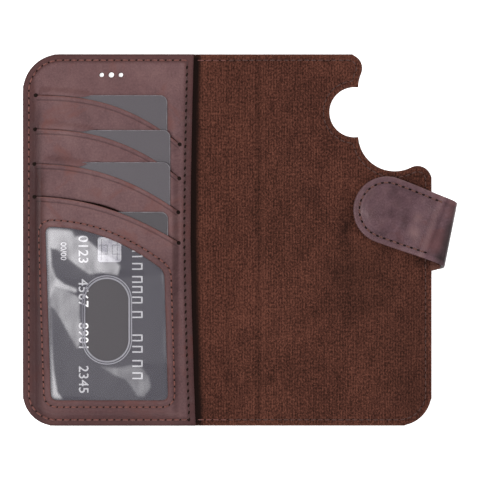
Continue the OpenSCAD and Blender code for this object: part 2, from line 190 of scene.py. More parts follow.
def leather(name, dark, mid, light, uv=True, wear=False, grain=1.0, rough=0.5, edge=None, spec=0.24, coat=0.0):
    m = Mat(name)
    v = m.coord(uv)
    big = m.noise(v, 34, 3, 0.5, 0.6)
    med = m.noise(v, 170, 5, 0.62, 0.4)
    fine = m.noise(v, 1100, 4, 0.7)
    f = m.math("ADD", m.math("MULTIPLY", big, 0.34), m.math("ADD", m.math("MULTIPLY", med, 0.30), m.math("MULTIPLY", fine, 0.36)))
    col = m.ramp(f, [(0.33, dark), (0.5, mid), (0.67, light)])
    # pale rubbed veins of a waxed, pull-up leather
    vein = m.ramp(m.noise(v, 85, 6, 0.7, 1.6), [(0.47, 0.0), (0.505, 1.0), (0.54, 0.0)])
    col = m.mix(m.math("MULTIPLY", vein, 0.07), col, light)
    warm = m.ramp(m.noise(v, 60, 4, 0.6, 0.8), [(0.55, 0.0), (0.68, 1.0)])
    col = m.mix(m.math("MULTIPLY", warm, 0.75), col, tuple(c * q for c, q in zip(mid, (1.16, 0.88, 0.74))))
    rub = m.noise(m.coord(uv, 1.0, 0.3, 0.3), 150, 5, 0.65, 0.3)
    col = m.mix(m.math("MULTIPLY", m.ramp(rub, [(0.52, 0.0), (0.7, 1.0)]), 0.25), col, light)
    spots = m.ramp(m.voro(v, 420), [(0.03, 1.0), (0.12, 0.0)])
    col = m.mix(m.math("MULTIPLY", spots, 0.25), col, dark)
    if wear:
        # browner and darker where the tone value is high: near the pocket panel's edges and towards its bottom, and as
        # painted shade on the left slope of the card stack
        t = m.attr("tone")
        patch = m.math("ADD", m.math("MULTIPLY", med, 1.3), m.math("MULTIPLY", big, 0.7))
        t = m.math("MULTIPLY", t, patch, True)
        col = m.mix(t, col, (0.52, 0.38, 0.36), "MULTIPLY")
        # the wear value lightens towards the edge colour and darkens towards deep brown: real edge wear, and also
        # painted highlights and painted shade laid out per mesh
        w = m.attr("wear")
        col = m.mix(m.math("MULTIPLY", m.math("MAXIMUM", w, 0.0), 0.75, True), col, edge or light)
        col = m.mix(m.math("MULTIPLY", m.math("MAXIMUM", m.math("MULTIPLY", w, -1.0), 0.0), 0.9, True), col, tuple(c * 0.35 for c in dark))
    cell = m.voro(v, 1450)
    h = m.math("ADD", m.math("MULTIPLY", cell, 0.8), m.math("MULTIPLY", fine, 0.5))
    nrm = m.bump(med, 0.35, 0.0005)
    nrm = m.bump(h, 0.55 * grain, 0.00022, nrm)
    rg = m.ramp(med, [(0.3, rough - 0.1), (0.7, rough + 0.14)])
    return m.out(col, rg, nrm, Specular_IOR_Level=spec, Specular_Tint=(1.0, 0.80, 0.80), Sheen_Weight=0.02, Sheen_Roughness=0.5, Coat_Weight=coat, Coat_Roughness=0.35)


def suede(name, dark, mid, light, uv=True, ribs=1.0):
    m = Mat(name)
    v = m.coord(uv)
    vs = m.coord(uv, 1.0, 0.12)
    vw = m.coord(uv, 0.12, 1.0)
    nap = m.noise(v, 26, 3, 0.5, 0.8)
    nap2 = m.noise(m.coord(uv, 1.0, 0.8, 0.4), 170, 5, 0.7, 0.6)
    wv = m.n("ShaderNodeTexWave", _wave_type="BANDS", _bands_direction="X", Scale=271.0, Distortion=1.2, Detail=2.0, Detail_Scale=0.6, Detail_Roughness=0.6)
    m.l(v, wv.inputs["Vector"])
    rib = wv.outputs["Fac"]
    rib2 = m.noise(vs, 900, 2, 0.6)
    weft = m.noise(vw, 1300, 2, 0.6)
    pile = m.noise(v, 2600, 3, 0.75)
    speck = m.noise(m.coord(uv, 1.0, 0.75), 1350, 3, 0.75)
    f = m.math("ADD", m.math("MULTIPLY", nap, 0.09), m.math("MULTIPLY", nap2, 0.09))
    f = m.math("ADD", f, m.math("MULTIPLY", rib, 0.034 * ribs))
    f = m.math("ADD", f, m.math("MULTIPLY", rib2, 0.10))
    f = m.math("ADD", f, m.math("MULTIPLY", weft, 0.06))
    f = m.math("ADD", f, m.math("MULTIPLY", speck, 0.47))
    f = m.math("ADD", f, m.math("MULTIPLY", pile, 0.15))
    f = m.math("SUBTRACT", f, 0.017 * ribs - 0.020)
    col = m.ramp(f, [(0.425, dark), (0.5, mid), (0.575, light)])
    # the wear value lightens and darkens the suede: real rubbed edges and darker brushed patches, and also painted
    # shade at the back fold and a painted shadow beside the pocket panel
    w = m.attr("wear")
    col = m.mix(m.math("MULTIPLY", m.math("MAXIMUM", w, 0.0), 0.6, True), col, light)
    col = m.mix(m.math("MULTIPLY", m.math("MAXIMUM", m.math("MULTIPLY", w, -1.0), 0.0), 0.9, True), col, tuple(c * 0.3 for c in dark))
    nrm = m.bump(rib, 0.12 * ribs, 0.0003)
    nrm = m.bump(speck, 0.5, 0.0005, nrm)
    nrm = m.bump(m.math("ADD", pile, m.math("MULTIPLY", weft, 0.6)), 0.6, 0.00025, nrm)
    return m.out(col, None, nrm, Roughness=0.95, Specular_IOR_Level=0.12, Sheen_Weight=0.06, Sheen_Roughness=0.45, Sheen_Tint=(0.62, 0.36, 0.28))


def plain(name, a, b, scale, rough, bump=0.2, uv=False, metallic=0.0, spec=0.4, dist=0.0002, **kw):
    m = Mat(name)
    v = m.coord(uv)
    f = m.noise(v, scale, 4, 0.6)
    g = m.noise(v, scale * 7, 3, 0.6)
    s = m.math("ADD", m.math("MULTIPLY", f, 0.6), m.math("MULTIPLY", g, 0.4))
    col = m.ramp(s, [(0.38, a), (0.62, b)])
    rg = m.ramp(g, [(0.3, rough - 0.06), (0.7, rough + 0.08)])
    nrm = m.bump(g, bump, dist)
    return m.out(col, rg, nrm, Metallic=metallic, Specular_IOR_Level=spec, **kw)


K = 0.56  # the scene's light level against the photograph's tones
M_pocket = leather("pocket_leather", srgb(86, 58, 60, K), srgb(119, 87, 89, K), srgb(146, 113, 112, K), wear=True, edge=srgb(150, 100, 92, K), rough=0.56)
M_hide = leather("cover_leather", srgb(80, 58, 58, K), srgb(112, 84, 84, K), srgb(140, 110, 108, K), wear=True, edge=srgb(148, 112, 104, K))
M_strap = leather("strap_leather", srgb(60, 36, 42, K), srgb(97, 67, 75, K), srgb(132, 100, 108, K), wear=True, edge=srgb(142, 108, 108, K), rough=0.40, spec=0.30, grain=0.6)
M_suede = suede("suede", srgb(54, 29, 21, 0.52), srgb(94, 54, 43, 0.53), srgb(134, 82, 66, 0.53))
M_suede_strap = suede("strap_suede", srgb(78, 46, 38, K), srgb(104, 66, 56, K), srgb(128, 88, 76, K), ribs=0.4)
M_paint = plain("edge_paint", srgb(46, 30, 30, K), srgb(66, 46, 44, K), 700, 0.5)
M_steel = plain("steel", (0.5, 0.5, 0.52), (0.62, 0.62, 0.64), 900, 0.32, 0.1, metallic=1.0)
M_liner = plain("liner_cloth", srgb(96, 86, 80, K), srgb(126, 114, 106, K), 1500, 0.9, 0.6)
M_card = plain("card_face", srgb(98, 90, 98, 0.41), srgb(107, 99, 107, 0.41), 1800, 0.46, 0.12, uv=True)
# painted shade: a darker copy of the card face for the ID card, which lies deepest under the window
M_card_shaded = plain("card_face_shaded", srgb(90, 82, 90, 0.29), srgb(98, 90, 98, 0.29), 1800, 0.46, 0.12, uv=True)
M_card_edge = plain("card_edge", srgb(104, 100, 106, 0.5), srgb(176, 170, 176, 0.5), 260, 0.5, 0.1, uv=True)
M_print = plain("card_print", srgb(240, 238, 244, 1.0), srgb(255, 254, 255, 1.0), 1800, 0.4, 0.15, uv=True)
M_print_dark = plain("card_print_dark", srgb(58, 55, 60, K), srgb(76, 73, 78, K), 1500, 0.45, 0.15, uv=True)
M_chip = plain("chip", srgb(196, 194, 204, 0.9), srgb(250, 248, 252, 1.0), 240, 0.3, 0.1, uv=True)


def thread_mat(name, a, b):
    m = Mat(name)
    v = m.coord(True)
    f = m.noise(v, 900, 3, 0.6)
    tw = m.noise(m.coord(True, 1.0, 1.0, 0.7), 2600, 2, 0.5)
    s = m.math("ADD", m.math("MULTIPLY", f, 0.5), m.math("MULTIPLY", tw, 0.5))
    col = m.ramp(s, [(0.36, a), (0.62, b)])
    return m.out(col, None, m.bump(tw, 0.7, 0.0002), Roughness=0.7, Specular_IOR_Level=0.3, Sheen_Weight=0.2)


M_thread = thread_mat("thread", srgb(98, 50, 43, K), srgb(158, 96, 86, K))
M_thread_dark = thread_mat("thread_dark", srgb(60, 34, 32, K), srgb(104, 66, 64, K))
M_thread_tab = thread_mat("thread_strap", srgb(84, 46, 42, K), srgb(136, 86, 78, K))
M_thread_in = thread_mat("thread_inner", srgb(62, 34, 28, K), srgb(112, 68, 58, K))
# painted shade: near-black insides of the needle holes and of the punched slit ends
M_hole_shade = plain("needle_hole_shade", (0.006, 0.0035, 0.003), (0.018, 0.011, 0.009), 900, 0.9, 0.1, uv=True, spec=0.05)

film = Mat("clear_film")
fv = film.coord(True)
fh = film.noise(fv, 90, 2, 0.5, 0.2)
# painted reflection: the film's colour turns pale where its per-vertex glare value is high, standing in for glare off
# its swells
M_film = film.out(film.ramp(film.attr("wear"), [(0.0, (0.098, 0.094, 0.124)), (1.0, (0.97, 0.96, 1.0))]), None, film.bump(fh, 0.05, 0.0003),
                  Roughness=0.32, IOR=1.5, Alpha=0.21, Specular_IOR_Level=0.5)
M_rim = Mat("film_rim")
rv = M_rim.coord(True)
M_rim = M_rim.out(None, None, M_rim.bump(M_rim.noise(rv, 500, 3, 0.5), 0.2, 0.0003), Base_Color=(0.46, 0.45, 0.50), Roughness=0.30,
                  Alpha=0.42, Specular_IOR_Level=0.6)

floor_m = Mat("floor")
floor_m.b.inputs["Emission Color"].default_value = (1, 1, 1, 1)
floor_m.b.inputs["Emission Strength"].default_value = 0.9
floor_m.out(floor_m.ramp(floor_m.noise(floor_m.coord(False), 9, 2), [(0.3, (0.90, 0.90, 0.90)), (0.7, (0.93, 0.93, 0.93))]), Roughness=0.9, Specular_IOR_Level=0.1)
me = bpy.data.meshes.new("floor")
s = 3.0
me.from_pydata([(-s, -s, -0.0004), (s, -s, -0.0004), (s, s, -0.0004), (-s, s, -0.0004)], [], [(0, 1, 2, 3)])
floor = bpy.data.objects.new("floor", me)
scene.collection.objects.link(floor)
me.materials.append(floor_m.m)

# ------------------------------------------------------------------ shape of the case (as in the solid model)
H = 81.5
xf, xb, x0, x1 = -19.0, 8.0, -95.3, 84.0
Z_IN = 2.9


def arc(c, r, a0, a1, n):
    a = np.radians(np.linspace(a0, a1, n + 1))
    return np.c_[c[0] + r * np.cos(a), c[1] + r * np.sin(a)]


def meet(c0, r0, c1, r1, s):
    c0, c1 = np.array(c0, float), np.array(c1, float)
    d = np.linalg.norm(c1 - c0)
    a = (r0 * r0 - r1 * r1 + d * d) / (2 * d)
    h = math.sqrt(r0 * r0 - a * a)
    e = (c1 - c0) / d
    return c0 + a * e + s * h * np.array([-e[1], e[0]])


def ang(p, c):
    a = math.degrees(math.atan2(p[1] - c[1], p[0] - c[0]))
    return a + 360 if a < 0 else a


def front_edge(d, xr, n=24):
    return np.vstack([[[xr, H - d]], arc((x0 + 16.5, H - 16.5), 16.5 - d, 90, 180, n), arc((x0 + 14.4, -H + 14.4), 14.4 - d, 180, 270, n), [[xr, -H + d]]])


bay_c, slot_lo, slot_hi = (50.2, 56.1), (67.8, 46.2), (67.8, 66.7)
side_c = (x1 - 6.2, slot_lo[1] - math.sqrt(22.2**2 - (x1 - 6.2 - slot_lo[0]) ** 2))
top_c = (slot_hi[0] - math.sqrt(22.1**2 - (H - 6.1 - slot_hi[1]) ** 2), H - 6.1)


def back_edge(d, xl, n=20):
    lo = meet(bay_c, 11 + d, slot_lo, 16 + d, -1)
    hi = meet(bay_c, 11 + d, slot_hi, 16 + d, 1)
    return np.vstack([[[xl, -H + d]], arc((x1 - 14.4, -H + 14.4), 14.4 - d, -90, 0, n),
                      arc(side_c, 6.2 - d, 0, ang(slot_lo, side_c), 12),
                      arc(slot_lo, 16 + d, ang(side_c, slot_lo), ang(lo, slot_lo), 26),
                      arc(bay_c, 11 + d, ang(lo, bay_c), ang(hi, bay_c), 30),
                      arc(slot_hi, 16 + d, ang(hi, slot_hi), ang(top_c, slot_hi), 8),
                      arc(top_c, 6.1 - d, ang(slot_hi, top_c) - 360, 90, 14), [[xl, H - d]]])


def smooth(t):
    u = np.clip(t, 0, 1)
    return u * u * (3 - 2 * u)


slit_l = [(-89.6, 63.4), (-89.9, 48.5), (-90.2, 33.3), (-90.2, 18.9)]
slit_r = [(-26.5, 41.9), (-26.7, 27.0), (-27.1, 12.1), (-26.9, -1.3)]
slit_p = [2.5, 2.4, 2.2, 2.0]
SA, SB = -90.2, -26.5


def slit(k, x):
    t = np.clip((x - SA) / (SB - SA), 0, 1)
    return slit_l[k][1] + (slit_r[k][1] - slit_l[k][1]) * t ** slit_p[k]


cz0, cy0, cs = [3.68, 5.12, 6.40, 7.55], [45, 30, 14.5, 1.0], [.0085, .0196, .0308, .0420]
c_top, c_right = [63.4, 48.1, 34.0, 12.3], [-31.95, -30.6, -30.6, -31.5]


def card_z(k, y):
    return cz0[k] + cs[k] * (y - cy0[k])


def bump(x):
    return smooth((x - SA) / 3.6) * smooth((SB - x) / 3.6)


corner = (x0 + 14.4, -H + 14.4)


def foot(x, y):
    d = np.where((x < corner[0]) & (y < corner[1]), 14.4 - np.hypot(x - corner[0], y - corner[1]), y + H)
    return smooth((d - 3.5) / 3.0)


def under(k, x, y):
    if k < 0:
        return np.full_like(x * y, Z_IN)
    lift = card_z(k, y) + 0.8 + (0.24 if k == 3 else 0) - Z_IN
    return Z_IN + lift * (np.minimum(bump(x), foot(x, y)) if k == 3 else bump(x))


def win_y(x):
    t = np.clip((x + 85.1) / 52.0, 0, 1)
    return 5.8 - 19.4 * t ** 2.1


def panel_edge(y):
    return np.interp(y, [-81.5, -60, -30, 0, 30, 60, 81.5], [-19.5, -20.3, -21.2, -21.75, -21.5, -20.9, -20.35])


# smooth value noise from fixed waves, so each run is the same
def waves(x, y, seed, scale, n=7):
    rng = np.random.default_rng(seed)
    out = 0
    for i in range(n):
        a, ph, f = rng.uniform(0, 2 * math.pi), rng.uniform(0, 2 * math.pi), rng.uniform(0.5, 1.6) / scale
        out = out + np.sin(2 * math.pi * f * (x * math.cos(a) + y * math.sin(a)) + ph)
    return out / n


# ------------------------------------------------------------------ mesh helpers
def make(name, verts, faces, mats, smooth_shade=True, mat_index=None, wear=None, uv=None, tone=None):
    verts = np.asarray(verts, float)
    me = bpy.data.meshes.new(name)
    me.from_pydata((verts * MM).tolist(), [], [tuple(int(i) for i in f) for f in faces])
    for m in mats if isinstance(mats, (list, tuple)) else [mats]:
        me.materials.append(m)
    if mat_index is not None:
        me.polygons.foreach_set("material_index", np.asarray(mat_index, np.int32))
    me.polygons.foreach_set("use_smooth", np.full(len(me.polygons), bool(smooth_shade)))
    if uv is None:
        uv = np.c_[verts[:, 0] + 0.9 * verts[:, 2], verts[:, 1] + 0.45 * verts[:, 2]] * MM
    lay = me.uv_layers.new(name="UVMap")
    idx = np.empty(len(me.loops), np.int32)
    me.loops.foreach_get("vertex_index", idx)
    lay.data.foreach_set("uv", uv[idx].ravel())
    at = me.attributes.new("wear", "FLOAT", "POINT")
    at.data.foreach_set("value", np.asarray(wear if wear is not None else np.zeros(len(verts)), np.float32))
    at = me.attributes.new("tone", "FLOAT", "POINT")
    at.data.foreach_set("value", np.asarray(tone if tone is not None else np.zeros(len(verts)), np.float32))
    me.update()
    ob = bpy.data.objects.new(name, me)
    scene.collection.objects.link(ob)
    return ob


def thicken(v, f, drop, top_mat=0, side_mat=0, low_mat=0):
    """Closed sheet: v top points, drop the vector per point to the underside."""
    n = len(v)
    low = v - drop
    f = [tuple(q) for q in f]
    edges = {}
    for q in f:
        for a, b in zip(q, q[1:] + q[:1]):
            edges[(a, b)] = 1
    side = [(b, a, a + n, b + n) for (a, b) in edges if (b, a) not in edges]
    faces = f + [tuple(i + n for i in reversed(q)) for q in f] + side
    mi = [top_mat] * len(f) + [low_mat] * len(f) + [side_mat] * len(side)
    return np.vstack([v, low]), faces, mi


def seg_near(P, A, B):
    best = np.full(len(P), 1e9)
    near = np.zeros((len(P), 2))
    for a, b in zip(A, B):
        d = b - a
        L = d @ d
        if L < 1e-12:
            continue
        t = np.clip(((P - a) @ d) / L, 0, 1)
        q = a + t[:, None] * d
        r = np.hypot(*(P - q).T)
        w = r < best
        best[w] = r[w]
        near[w] = q[w]
    return best, near


def inside(P, poly):
    x, y = P.T
    r = np.zeros(len(P), bool)
    for (ax, ay), (bx, by) in zip(poly, np.roll(poly, -1, 0)):
        if ay == by:
            continue
        c = ((ay > y) != (by > y)) & (x < (bx - ax) * (y - ay) / (by - ay) + ax)
        r ^= c
    return r


def carve(V, quads, loops, keep_inside):
    """Drop the quads whose middle is on the wrong side of each loop and pull the new border onto it."""
    quads = np.asarray(quads)
    for poly, keep in zip(loops, keep_inside):
        mid = V[quads].mean(1)
        ok = inside(mid, poly) == keep
        gone = quads[~ok]
        quads = quads[ok]
        border = np.intersect1d(np.unique(gone), np.unique(quads))
        if len(border):
            _, near = seg_near(V[border], poly, np.roll(poly, -1, 0))
            V[border] = near
    used = np.unique(quads)
    remap = -np.ones(len(V), int)
    remap[used] = np.arange(len(used))
    return V[used], remap[quads], used


def grid(xs, ys):
    X, Y = np.meshgrid(xs, ys)
    V = np.c_[X.ravel(), Y.ravel()]
    nx = len(xs)
    q = [(j * nx + i, j * nx + i + 1, (j + 1) * nx + i + 1, (j + 1) * nx + i) for j in range(len(ys) - 1) for i in range(nx - 1)]
    return V, q


def circle(c, r, n=20):
    return arc(c, r, 0, 360 * (n - 1) / n, n - 1)


speaker = [((-60.7, 72.4), 1.0), ((-56.5, 72.4), 1.2), ((-52.3, 72.4), 1.0)]
XM = -5.5
left_out = front_edge(0, XM)
right_out = back_edge(0, XM)
left_free = front_edge(0, XM)
right_free = back_edge(0, XM)


def cover_sheet(side, h=1.0):
    if side == "left":
        xs = np.linspace(x0, XM, 91)
        V, q = grid(xs, np.linspace(-H, H, 164))
        V, q, _ = carve(V, q, [left_out] + [circle(c, r + 0.5) for c, r in speaker], [True] + [False] * 3)
        free = left_free
    else:
        xs = np.linspace(XM, x1, 91)
        V, q = grid(xs, np.linspace(-H, H, 164))
        V, q, _ = carve(V, q, [right_out], [True])
        free = right_free
    d, _ = seg_near(V, free[:-1], free[1:])
    return V, q, d


# ------------------------------------------------------------------ outer leather and suede lining
def fold_dip(x, y, deep, w):
    return -deep * (np.exp(-((x - xb) / w) ** 2) + np.exp(-((x - xf) / w) ** 2))


lining = {}
hide = {}
for side in ("left", "right"):
    V, q, d = cover_sheet(side)
    x, y = V.T
    # suede: soft rounded edge, a line pressed in by the seam, shallow creases at the folds
    z = Z_IN + fold_dip(x, y, 0.42, 1.1) - 0.42 * (1 - np.clip(d / 1.3, 0, 1)) ** 2 - 0.10 * np.exp(-((d - 2.7) / 0.9) ** 2)
    z = z + 0.05 * waves(x, y, 3, 28) * smooth(d / 8) * (x > -15)
    top = np.c_[x, y, z]
    drop = np.c_[np.zeros_like(x), np.zeros_like(x), np.full_like(x, 0.72)]
    # lighter rubbed edge; at the back fold a painted shade line in the crease with a painted highlight beside it
    wear = 0.55 * np.exp(-(d / 0.9) ** 2) - 0.40 * np.exp(-((x - xb) / 0.8) ** 2) + 0.22 * np.exp(-((x - xb - 1.9) / 0.9) ** 2)
    wear = wear - 0.32 * smooth((y - 2) / -6) * smooth((y + 42) / 16) * smooth((x - 36) / 12) * smooth((76 - x) / 16)
    wear = wear - 0.24 * smooth((x - 62) / 16) * smooth((-y - 2) / 30)
    spot = lambda cx, cy, ax, ay: np.exp(-((x - cx) / ax) ** 2 - ((y - cy) / ay) ** 2)
    rag = 0.75 + 0.9 * waves(x, y, 8, 5) + 0.5 * waves(x, y, 9, 2.5)
    wear = wear - np.clip(rag, 0.35, 1.2) * (0.72 * spot(46.0, 7, 3.6, 7.5) + 0.85 * spot(81, -8, 5, 5) + 0.45 * spot(76, 27, 8, 5) + 0.3 * spot(30, 20, 6, 4) + 0.36 * spot(44, -14, 9, 5) + 0.32 * spot(62, -46, 12, 8) + 0.22 * spot(72, -66, 12, 8))
    # painted shadow of the pocket panel's raised edge on the suede beside it
    wear = wear - 1.12 * smooth((panel_edge(y) + 4.3 - x) / 2.4) * (x > -23)
    vv, ff, mi = thicken(top, q, drop, 0, 1, 1)
    lining[side] = make("lining_" + side, vv, ff, [M_suede, M_paint], True, mi, np.r_[wear, wear])
    # outer leather: faces down, rounded edge, soft grooves at the folds
    zl = 0.0 + 0.30 * (1 - np.clip(d / 1.2, 0, 1)) ** 2 - fold_dip(x, y, 0.22, 1.6) + 0.05 * np.exp(-((d - 2.7) / 0.8) ** 2)
    zl = np.maximum(zl, 0)
    low = np.c_[x, y, zl]
    up = np.c_[x, y, np.full_like(x, 1.08)]
    wl = 0.5 * np.exp(-(d / 1.0) ** 2) + 0.25 * (np.exp(-((x - xb) / 2.2) ** 2) + np.exp(-((x - xf) / 2.2) ** 2)) - 0.25 * np.exp(-((d - 2.7) / 0.6) ** 2)
    vv, ff, mi = thicken(up, q, up - low, 0, 1, 0)
    hide[side] = make("hide_" + side, vv, ff, [M_hide, M_paint], True, mi, np.r_[wl, wl])

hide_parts("front_lining", "front_fold_lining")
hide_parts("spine_lining", "back_fold_lining", "back_lining")
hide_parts("front_leather", "front_fold_leather")
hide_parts("spine_leather", "back_fold_leather", "back_leather")


def blend_front(ob):
    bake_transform(ob)


def blend_back(ob):
    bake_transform(ob)


for s, fn in (("left", blend_front), ("right", blend_back)):
    fn(lining[s])
    fn(hide[s])

# ------------------------------------------------------------------ pocket leather
cols_a = np.r_[x0 + np.array([0, .15, .45, .9, 1.5, 2.2, 2.7, 3.2, 3.9, 4.5]), SA + 3.6 * np.linspace(0, 1, 9), np.linspace(-86.6, -30.1, 78)[1:], -30.1 + 3.6 * np.linspace(0, 1, 9)[1:]]
fr = np.array([.1, .25, .4, .55, .66, .76, .85, .92, .97, 1.0])


def y_top(x):
    return np.where(x < -78.8, 65 + np.sqrt(np.maximum(16.5**2 - (x + 78.8) ** 2, 0)), H)


def y_bot(x):
    return np.where(x < -80.9, -67.1 - np.sqrt(np.maximum(14.4**2 - (x + 80.9) ** 2, 0)), -H)


LAP = [-63.6, -63.2, -63.0]
near_slit = np.array([0, .14, .34, .6, .95, 1.35, 1.65, 1.88, 2.1, 2.32, 2.6, 3.1])


def kerf(k, x):
    g = smooth((x - SA) / 1.0) * smooth((SB - x) / 1.0)
    if k == 3:
        wide = 0.85 * np.exp(-((x + 58.5) / 9.5) ** 2)
    else:
        # the edge climbs from the slit to the top of the card
        wide = np.maximum(c_top[k] - slit(k, x) - 0.1, 0) * smooth((x + 71.5) / 7.0) * (1 - smooth((x + 62.0) / 8.0))
    return g * (0.14 + wide)


PV, PQ, PW, PT = [], [], [], []
base = 0
win_loop = None


def win_outline():
    """Opening of the window, with rounded corners."""
    top = [(x, win_y(np.array(x))) for x in np.linspace(-85.1, -33.1, 40)]
    right = [(-33.1 + 1.6 * t, -13.6 + (-70.2 + 13.6) * t) for t in np.linspace(0.02, 1, 30)]
    bot = [(x, -70.2) for x in np.linspace(-31.5, -82.9, 40)[1:]]
    left = [(-82.9 - 2.2 * t, -70.2 + (5.8 + 70.2) * t) for t in np.linspace(0.02, 0.98, 40)]
    P = np.array([(float(a), float(b)) for a, b in top + right + bot + left])
    # round the corners with a few passes of local averaging
    corners = [(-85.1, 5.8), (-33.1, -13.6), (-31.5, -70.2), (-82.9, -70.2)]
    out = []
    n = len(P)
    s = np.r_[0, np.cumsum(np.hypot(*(np.roll(P, -1, 0) - P).T))]
    L = s[-1]
    u = np.linspace(0, L, 600, endpoint=False)
    Q = np.c_[np.interp(u, s, np.r_[P[:, 0], P[0, 0]]), np.interp(u, s, np.r_[P[:, 1], P[0, 1]])]
    for c in corners:
        w = smooth(1 - np.hypot(*(Q - c).T) / 5.0)
        for _ in range(26):
            avg = (np.roll(Q, 1, 0) + np.roll(Q, -1, 0)) / 2
            Q = Q + (avg - Q) * (w[:, None] * 0.9)
    return Q


WIN = win_outline()
for k in range(-1, 4):
    rows = []
    if k < 0:
        fracs = None
        t0, t1 = y_top, lambda x: slit(0, x) + kerf(0, x)
    else:
        t0 = lambda x, k=k: slit(k, x)
        t1 = (lambda x, k=k: slit(k + 1, x) + kerf(k + 1, x)) if k < 3 else y_bot
    nrow = {-1: 36, 0: 16, 1: 16, 2: 16, 3: 106}[k]
    edge_rows = near_slit if k >= 0 else np.array([0, .3, .7, 1.3, 2.0, 2.7, 3.4])
    tail = np.linspace(0, 1, nrow + 1)[1:]
    nx = len(cols_a) + len(fr)
    grid_pts = []
    for j in range(len(edge_rows) + nrow):
        # x columns: the right-hand part follows the bowed edge
        def row_y(x):
            a, b = t0(x), t1(x)
            L = a - b
            e = np.minimum(edge_rows[-1], 0.3 * L)
            if j < len(edge_rows):
                return a - edge_rows[j] / edge_rows[-1] * e
            return a - e - (L - e) * tail[j - len(edge_rows)]
        ya = row_y(cols_a)
        yr0 = row_y(np.array([SB]))[0]
        xr = SB + (panel_edge(yr0) - SB) * fr
        yb = row_y(xr)
        grid_pts.append(np.c_[np.r_[cols_a, xr], np.r_[ya, yb]])
    G = np.array(grid_pts)
    nj = len(G)
    V = G.reshape(-1, 2).copy()
    Q = [(j * nx + i, (j + 1) * nx + i, (j + 1) * nx + i + 1, j * nx + i + 1) for j in range(nj - 1) for i in range(nx - 1)]
    if k == 3:
        V, Q, _ = carve(V, Q, [WIN], [False])
    if k < 0:
        V, Q, _ = carve(V, Q, [circle(c, r) for c, r in speaker], [False] * 3)
    x, y = V.T
    z = under(k, x, y) + 0.7
    on = (x > SA + 0.2) & (x < SB - 0.2)
    wear = np.zeros(len(x))
    if k >= 0:
        d = slit(k, x) - y
        m = smooth((x - SA) / 1.6) * smooth((SB - x) / 1.6)
        z = z - m * 0.42 * (1 - np.sqrt(np.clip(1 - (1 - np.clip(d / 0.75, 0, 1)) ** 2, 0, 1)))
        z = z - m * 0.22 * np.exp(-((d - 2.1) / 0.26) ** 2)
        z = z + m * 0.12 * np.exp(-((d - 1.2) / 0.6) ** 2)
        # lighter raw edge at the slit; below it a painted shade line in the crease and a painted highlight beside it
        wear = wear + m * (0.85 * np.exp(-(d / 0.5) ** 2) - 0.62 * np.exp(-((d - 2.1) / 0.24) ** 2) + 0.22 * np.exp(-((d - 2.65) / 0.3) ** 2))
    if k < 3:
        kk = k + 1
        d2 = y - slit(kk, x)
        # painted shade along the lower edge of the band, at the next slit
        wear = wear - 0.45 * on * np.exp(-(d2 / 1.0) ** 2) * smooth((x - (LAP[kk] if kk < 3 else -99)) / 6)
        if kk < 3:
            # the lip above the slit lies over the left end of the card's top edge
            need = card_z(kk, y) + 0.76 + 0.05 + 0.72 - z
            lap = smooth((x + 88.6) / 2.2) * smooth((LAP[kk] - x) / 3.0) * smooth(1 - (d2 - 0.9) / 3.4)
            z = z + np.maximum(need, 0) * lap
            wear = wear + 0.30 * lap * (1 - lap) * 2
    outl = np.vstack([front_edge(0, panel_edge(H))[:-1], np.c_[panel_edge(np.linspace(-H, H, 30)), np.linspace(-H, H, 30)]])
    de, _ = seg_near(V, outl, np.roll(outl, -1, 0))
    z = z - 0.34 * (1 - np.clip(de / 0.9, 0, 1)) ** 2 - 0.16 * np.exp(-((de - 2.7) / 0.55) ** 2)
    wear = wear - 0.22 * np.exp(-(de / 0.6) ** 2) - 0.12 * np.exp(-((de - 2.7) / 0.9) ** 2)
    # browner, darker tone near the panel's edges, towards the bottom and along the right margin; along the left margin
    # it is painted shade on the slope of the card stack
    tone = np.maximum(1.1 * smooth((4.8 - de) / 2.4), 0.46 * smooth((3 - y) / 16) * (1 - 0.45 * smooth((x + 33.5) / 3)))
    tone = np.maximum(tone, 1.2 * smooth((-88.7 - x) / 2.6))
    tone = np.maximum(tone, 0.85 * smooth((-83.6 - x) / 3.4) * smooth((36 - y) / 10) * (1 - 0.35 * smooth((-8 - y) / 16)))
    tone = np.maximum(tone, 0.24 * smooth((x + 29.5) / 3.0) * smooth((48 - y) / 20))
    if k == 3:
        dw, _ = seg_near(V, WIN, np.roll(WIN, -1, 0))
        z = z - 0.36 * (1 - np.clip(dw / 0.8, 0, 1)) ** 2 - 0.12 * np.exp(-((dw - 2.9) / 0.55) ** 2)
        wear = wear + 0.45 * np.exp(-(dw / 0.5) ** 2) - 0.22 * np.exp(-((dw - 2.9) / 0.8) ** 2)
    z = z + 0.07 * waves(x, y, 11, 20) * smooth((de - 4) / 4) * (1 if k < 3 else smooth(dw / 3 - 0.6))
    wear = wear - 0.05 * smooth((30 - y) / 60) + 0.10 * smooth((y - 52) / 16)
    # painted shade on the left slope of the card stack
    wear = wear - 0.42 * smooth((x + 92.5) / 2.0) * smooth((-84.5 - x) / 4.0) * smooth((70 - y) / 20)
    PV.append(np.c_[x, y, z])
    PQ += [tuple(int(i) + base for i in f) for f in Q]
    PW.append(wear)
    PT.append(tone)
    base += len(x)
PV = np.vstack(PV)
PW = np.concatenate(PW)
PT = np.concatenate(PT)
